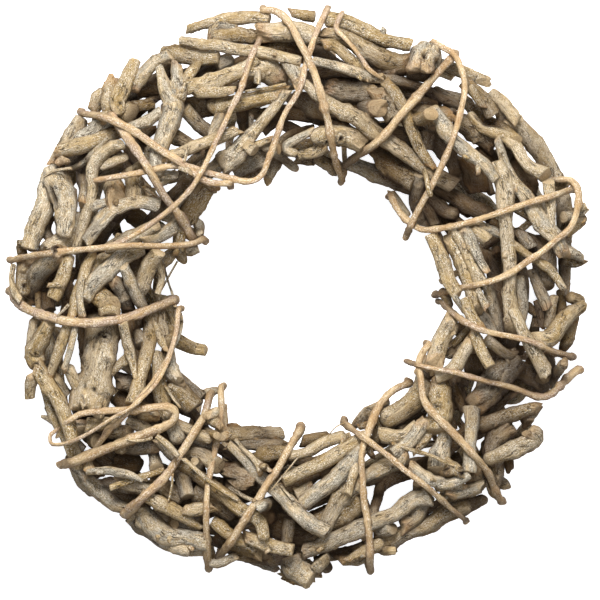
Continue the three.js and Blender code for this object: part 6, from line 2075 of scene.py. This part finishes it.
vine_skin, tree, shader = new_material("vine skin", 0.75)
wood = effects(
    tree, fibre_width=0.7, fibre_length=16, crack_width=2.0, dust_size=0.7, patch_size=6,
)
# How much the wood faces up, which places the dust with a painted highlight on top and painted shade on
# the sides and underneath
worn = read(tree, "worn")
greyed = ranged(tree, read(tree, "tone"), 0.2, 0.9, floor=0.2, ceiling=0.8)
skin = layered(tree, HONEY, [
    (wood["Patches"], STRAW),
    (times(tree, wood["Stains"], greyed), PINKISH),
    (times(tree, minus(tree, 1.0, wood["Fibres"]), 0.35), STREAK_AND_HOLLOW_SHADE),
    (times(tree, wood["Flecks"], 0.95), STREAK_AND_HOLLOW_SHADE),
    # pale dust, most on top, where it also paints a highlight
    (times(tree, wood["Dust"], ranged(tree, worn, 0.2, 1.0, floor=0.1, ceiling=0.75)), DUST_AND_HIGHLIGHT),
    (times(tree, wood["Cracks"], 0.5), STREAK_AND_HOLLOW_SHADE),
    # painted shade on the sides and underneath
    (ranged(tree, worn, 0.8, 0.15, ceiling=0.55), SHADED),
    (times(tree, read(tree, "cut"), 0.7), SAWN),
    # painted shade inside the pile
    (times(tree, read(tree, "deep"), 0.7), PILE_SHADE),
    # painted shade in grooves and scar pits
    (read(tree, "knot_and_hollow_shade"), STREAK_AND_HOLLOW_SHADE),
])
finish_skin(tree, shader, skin, fibrous(tree, wood), strength=0.8, depth=0.0005)

EVEN_BEND = 7
POINTS_A_BEND = 6


def even_line(path):
    """The path of a vine with its corners rounded."""
    lengths = along_curve(path)
    count = max(2, int(lengths[-1] / EVEN_BEND + 0.5)) + 1
    marks = np.linspace(0, lengths[-1], count)
    knots = np.array([np.interp(marks, lengths, column) for column in path.T]).T
    return on_curve(knots, np.linspace(0, 1, POINTS_A_BEND * count))


SAWN_VINE = SimpleNamespace(rings=SAWN_END, slant=0.3, facing=None, tear=0.05, fresh=0.8, torn=0)

for name, path in vine_paths.items():
    character = SimpleNamespace(
        sides=14, step=RING_STEP, crook=0.14, bend_every=20, lump=0.09, ridge=0.07, rough=0.045,
        crack=0.4, twist=0.05 * (chance.random() - 0.5), scar_every=35,
    )
    rod = draw_out(even_line(path), chance, [SAWN_VINE, SAWN_VINE], character)
    finish_piece(f"lashing_{name.removeprefix('vine_')}", [rod], vine_skin, [name])

# Thin twigs and tendrils of the same wood as the branches, some as thin as a hair. They lie
# loose on the front, over branches and vines, caught between them by their ends.
LOOSE_TWIGS = [
    [[66, -100, 1.4], [75, -103, 1.4], [85, -106, 1.4], [95, -109, 1.4], [108, -115, 1.2]],
    [[33, -86, 0.5], [28, -87, 0.4], [24, -91, 0.4], [20, -97, 0.4], [18, -100, 0.4]],
    [[0, -110, 0.6], [-6, -117, 0.6], [-14, -127, 0.6], [-19, -133, 0.5]],
    [[-199, 25, 2], [-200, 16, 2.3], [-199, 7, 2.4], [-194, -1, 2.4]],
]
TWIG_CHARACTER = SimpleNamespace(
    sides=10, step=RING_STEP, crook=0.2, bend_every=9, lump=0.1, ridge=0.05, rough=0.01,
    crack=0.5, twist=0.05, scar_every=40,
)

rods = []
for places in [list(zip(*twig.knots.T[:2], twig.radii)) for twig in draped] + LOOSE_TWIGS:
    route = [place[:2] for place in places]
    path = tightened(route, [places[0][2], places[-1][2]], 1)
    ends = [any_end(chance), any_end(chance)]
    rods.append(draw_out(even_line(np.array(path)), chance, ends, TWIG_CHARACTER))
finish_piece("loose_twigs", rods, bark, [])

# The floor is plain white, and the wreath lies on it on its back.
FLOOR_REACH = 3
shape = bmesh.new()
bmesh.ops.create_grid(shape, x_segments=1, y_segments=1, size=FLOOR_REACH)
mesh = bpy.data.meshes.new("floor")
shape.to_mesh(mesh)
shape.free()
floor = bpy.data.objects.new("floor", mesh)
bpy.context.scene.collection.objects.link(floor)
white, tree, shader = new_material("white floor", 1)
shader.inputs["Base Color"].default_value = (0.8, 0.8, 0.8, 1)
shader.inputs["Emission Color"].default_value = (1, 1, 1, 1)
# The camera sees it as bright as the photograph's ground, but it lights nothing
GLOW = 0.9
seen = add_node(tree, "ShaderNodeLightPath").outputs["Is Camera Ray"]
tree.links.new(times(tree, seen, GLOW), shader.inputs["Emission Strength"])
mesh.materials.append(white)


def add_lamp(name, power, width, place):
    """A square lamp of this width, turned to the middle of the wreath."""
    lamp = bpy.data.lights.new(name, "AREA")
    lamp.energy = power
    lamp.size = width
    holder = bpy.data.objects.new(name, lamp)
    bpy.context.scene.collection.objects.link(holder)
    holder.location = place
    holder.rotation_euler = (-Vector(place)).to_track_quat("-Z", "Y").to_euler()


# Soft light comes from above and from the top of the picture, in a pale room.
add_lamp("large soft lamp", power=80, width=0.8, place=(-0.1, 1.25, 1.75))
add_lamp("soft lamp overhead", power=22, width=1.2, place=(0.2, -0.3, 2.4))
world = bpy.data.worlds.new("pale room")
world.use_nodes = True
background = world.node_tree.nodes["Background"]
background.inputs["Color"].default_value = (1, 1, 1, 1)
background.inputs["Strength"].default_value = 0.1
bpy.context.scene.world = world
bpy.context.scene.view_settings.view_transform = "Standard"

# The camera looks straight down on the wreath from far away, as the photograph shows it.
CAMERA_PLACE = (0.0029, -0.0027, 4.06)
CAMERA_LENS = 342.9
view = bpy.data.cameras.new("camera")
view.lens = CAMERA_LENS
camera = bpy.data.objects.new("camera", view)
bpy.context.scene.collection.objects.link(camera)
camera.location = CAMERA_PLACE
bpy.context.scene.camera = camera
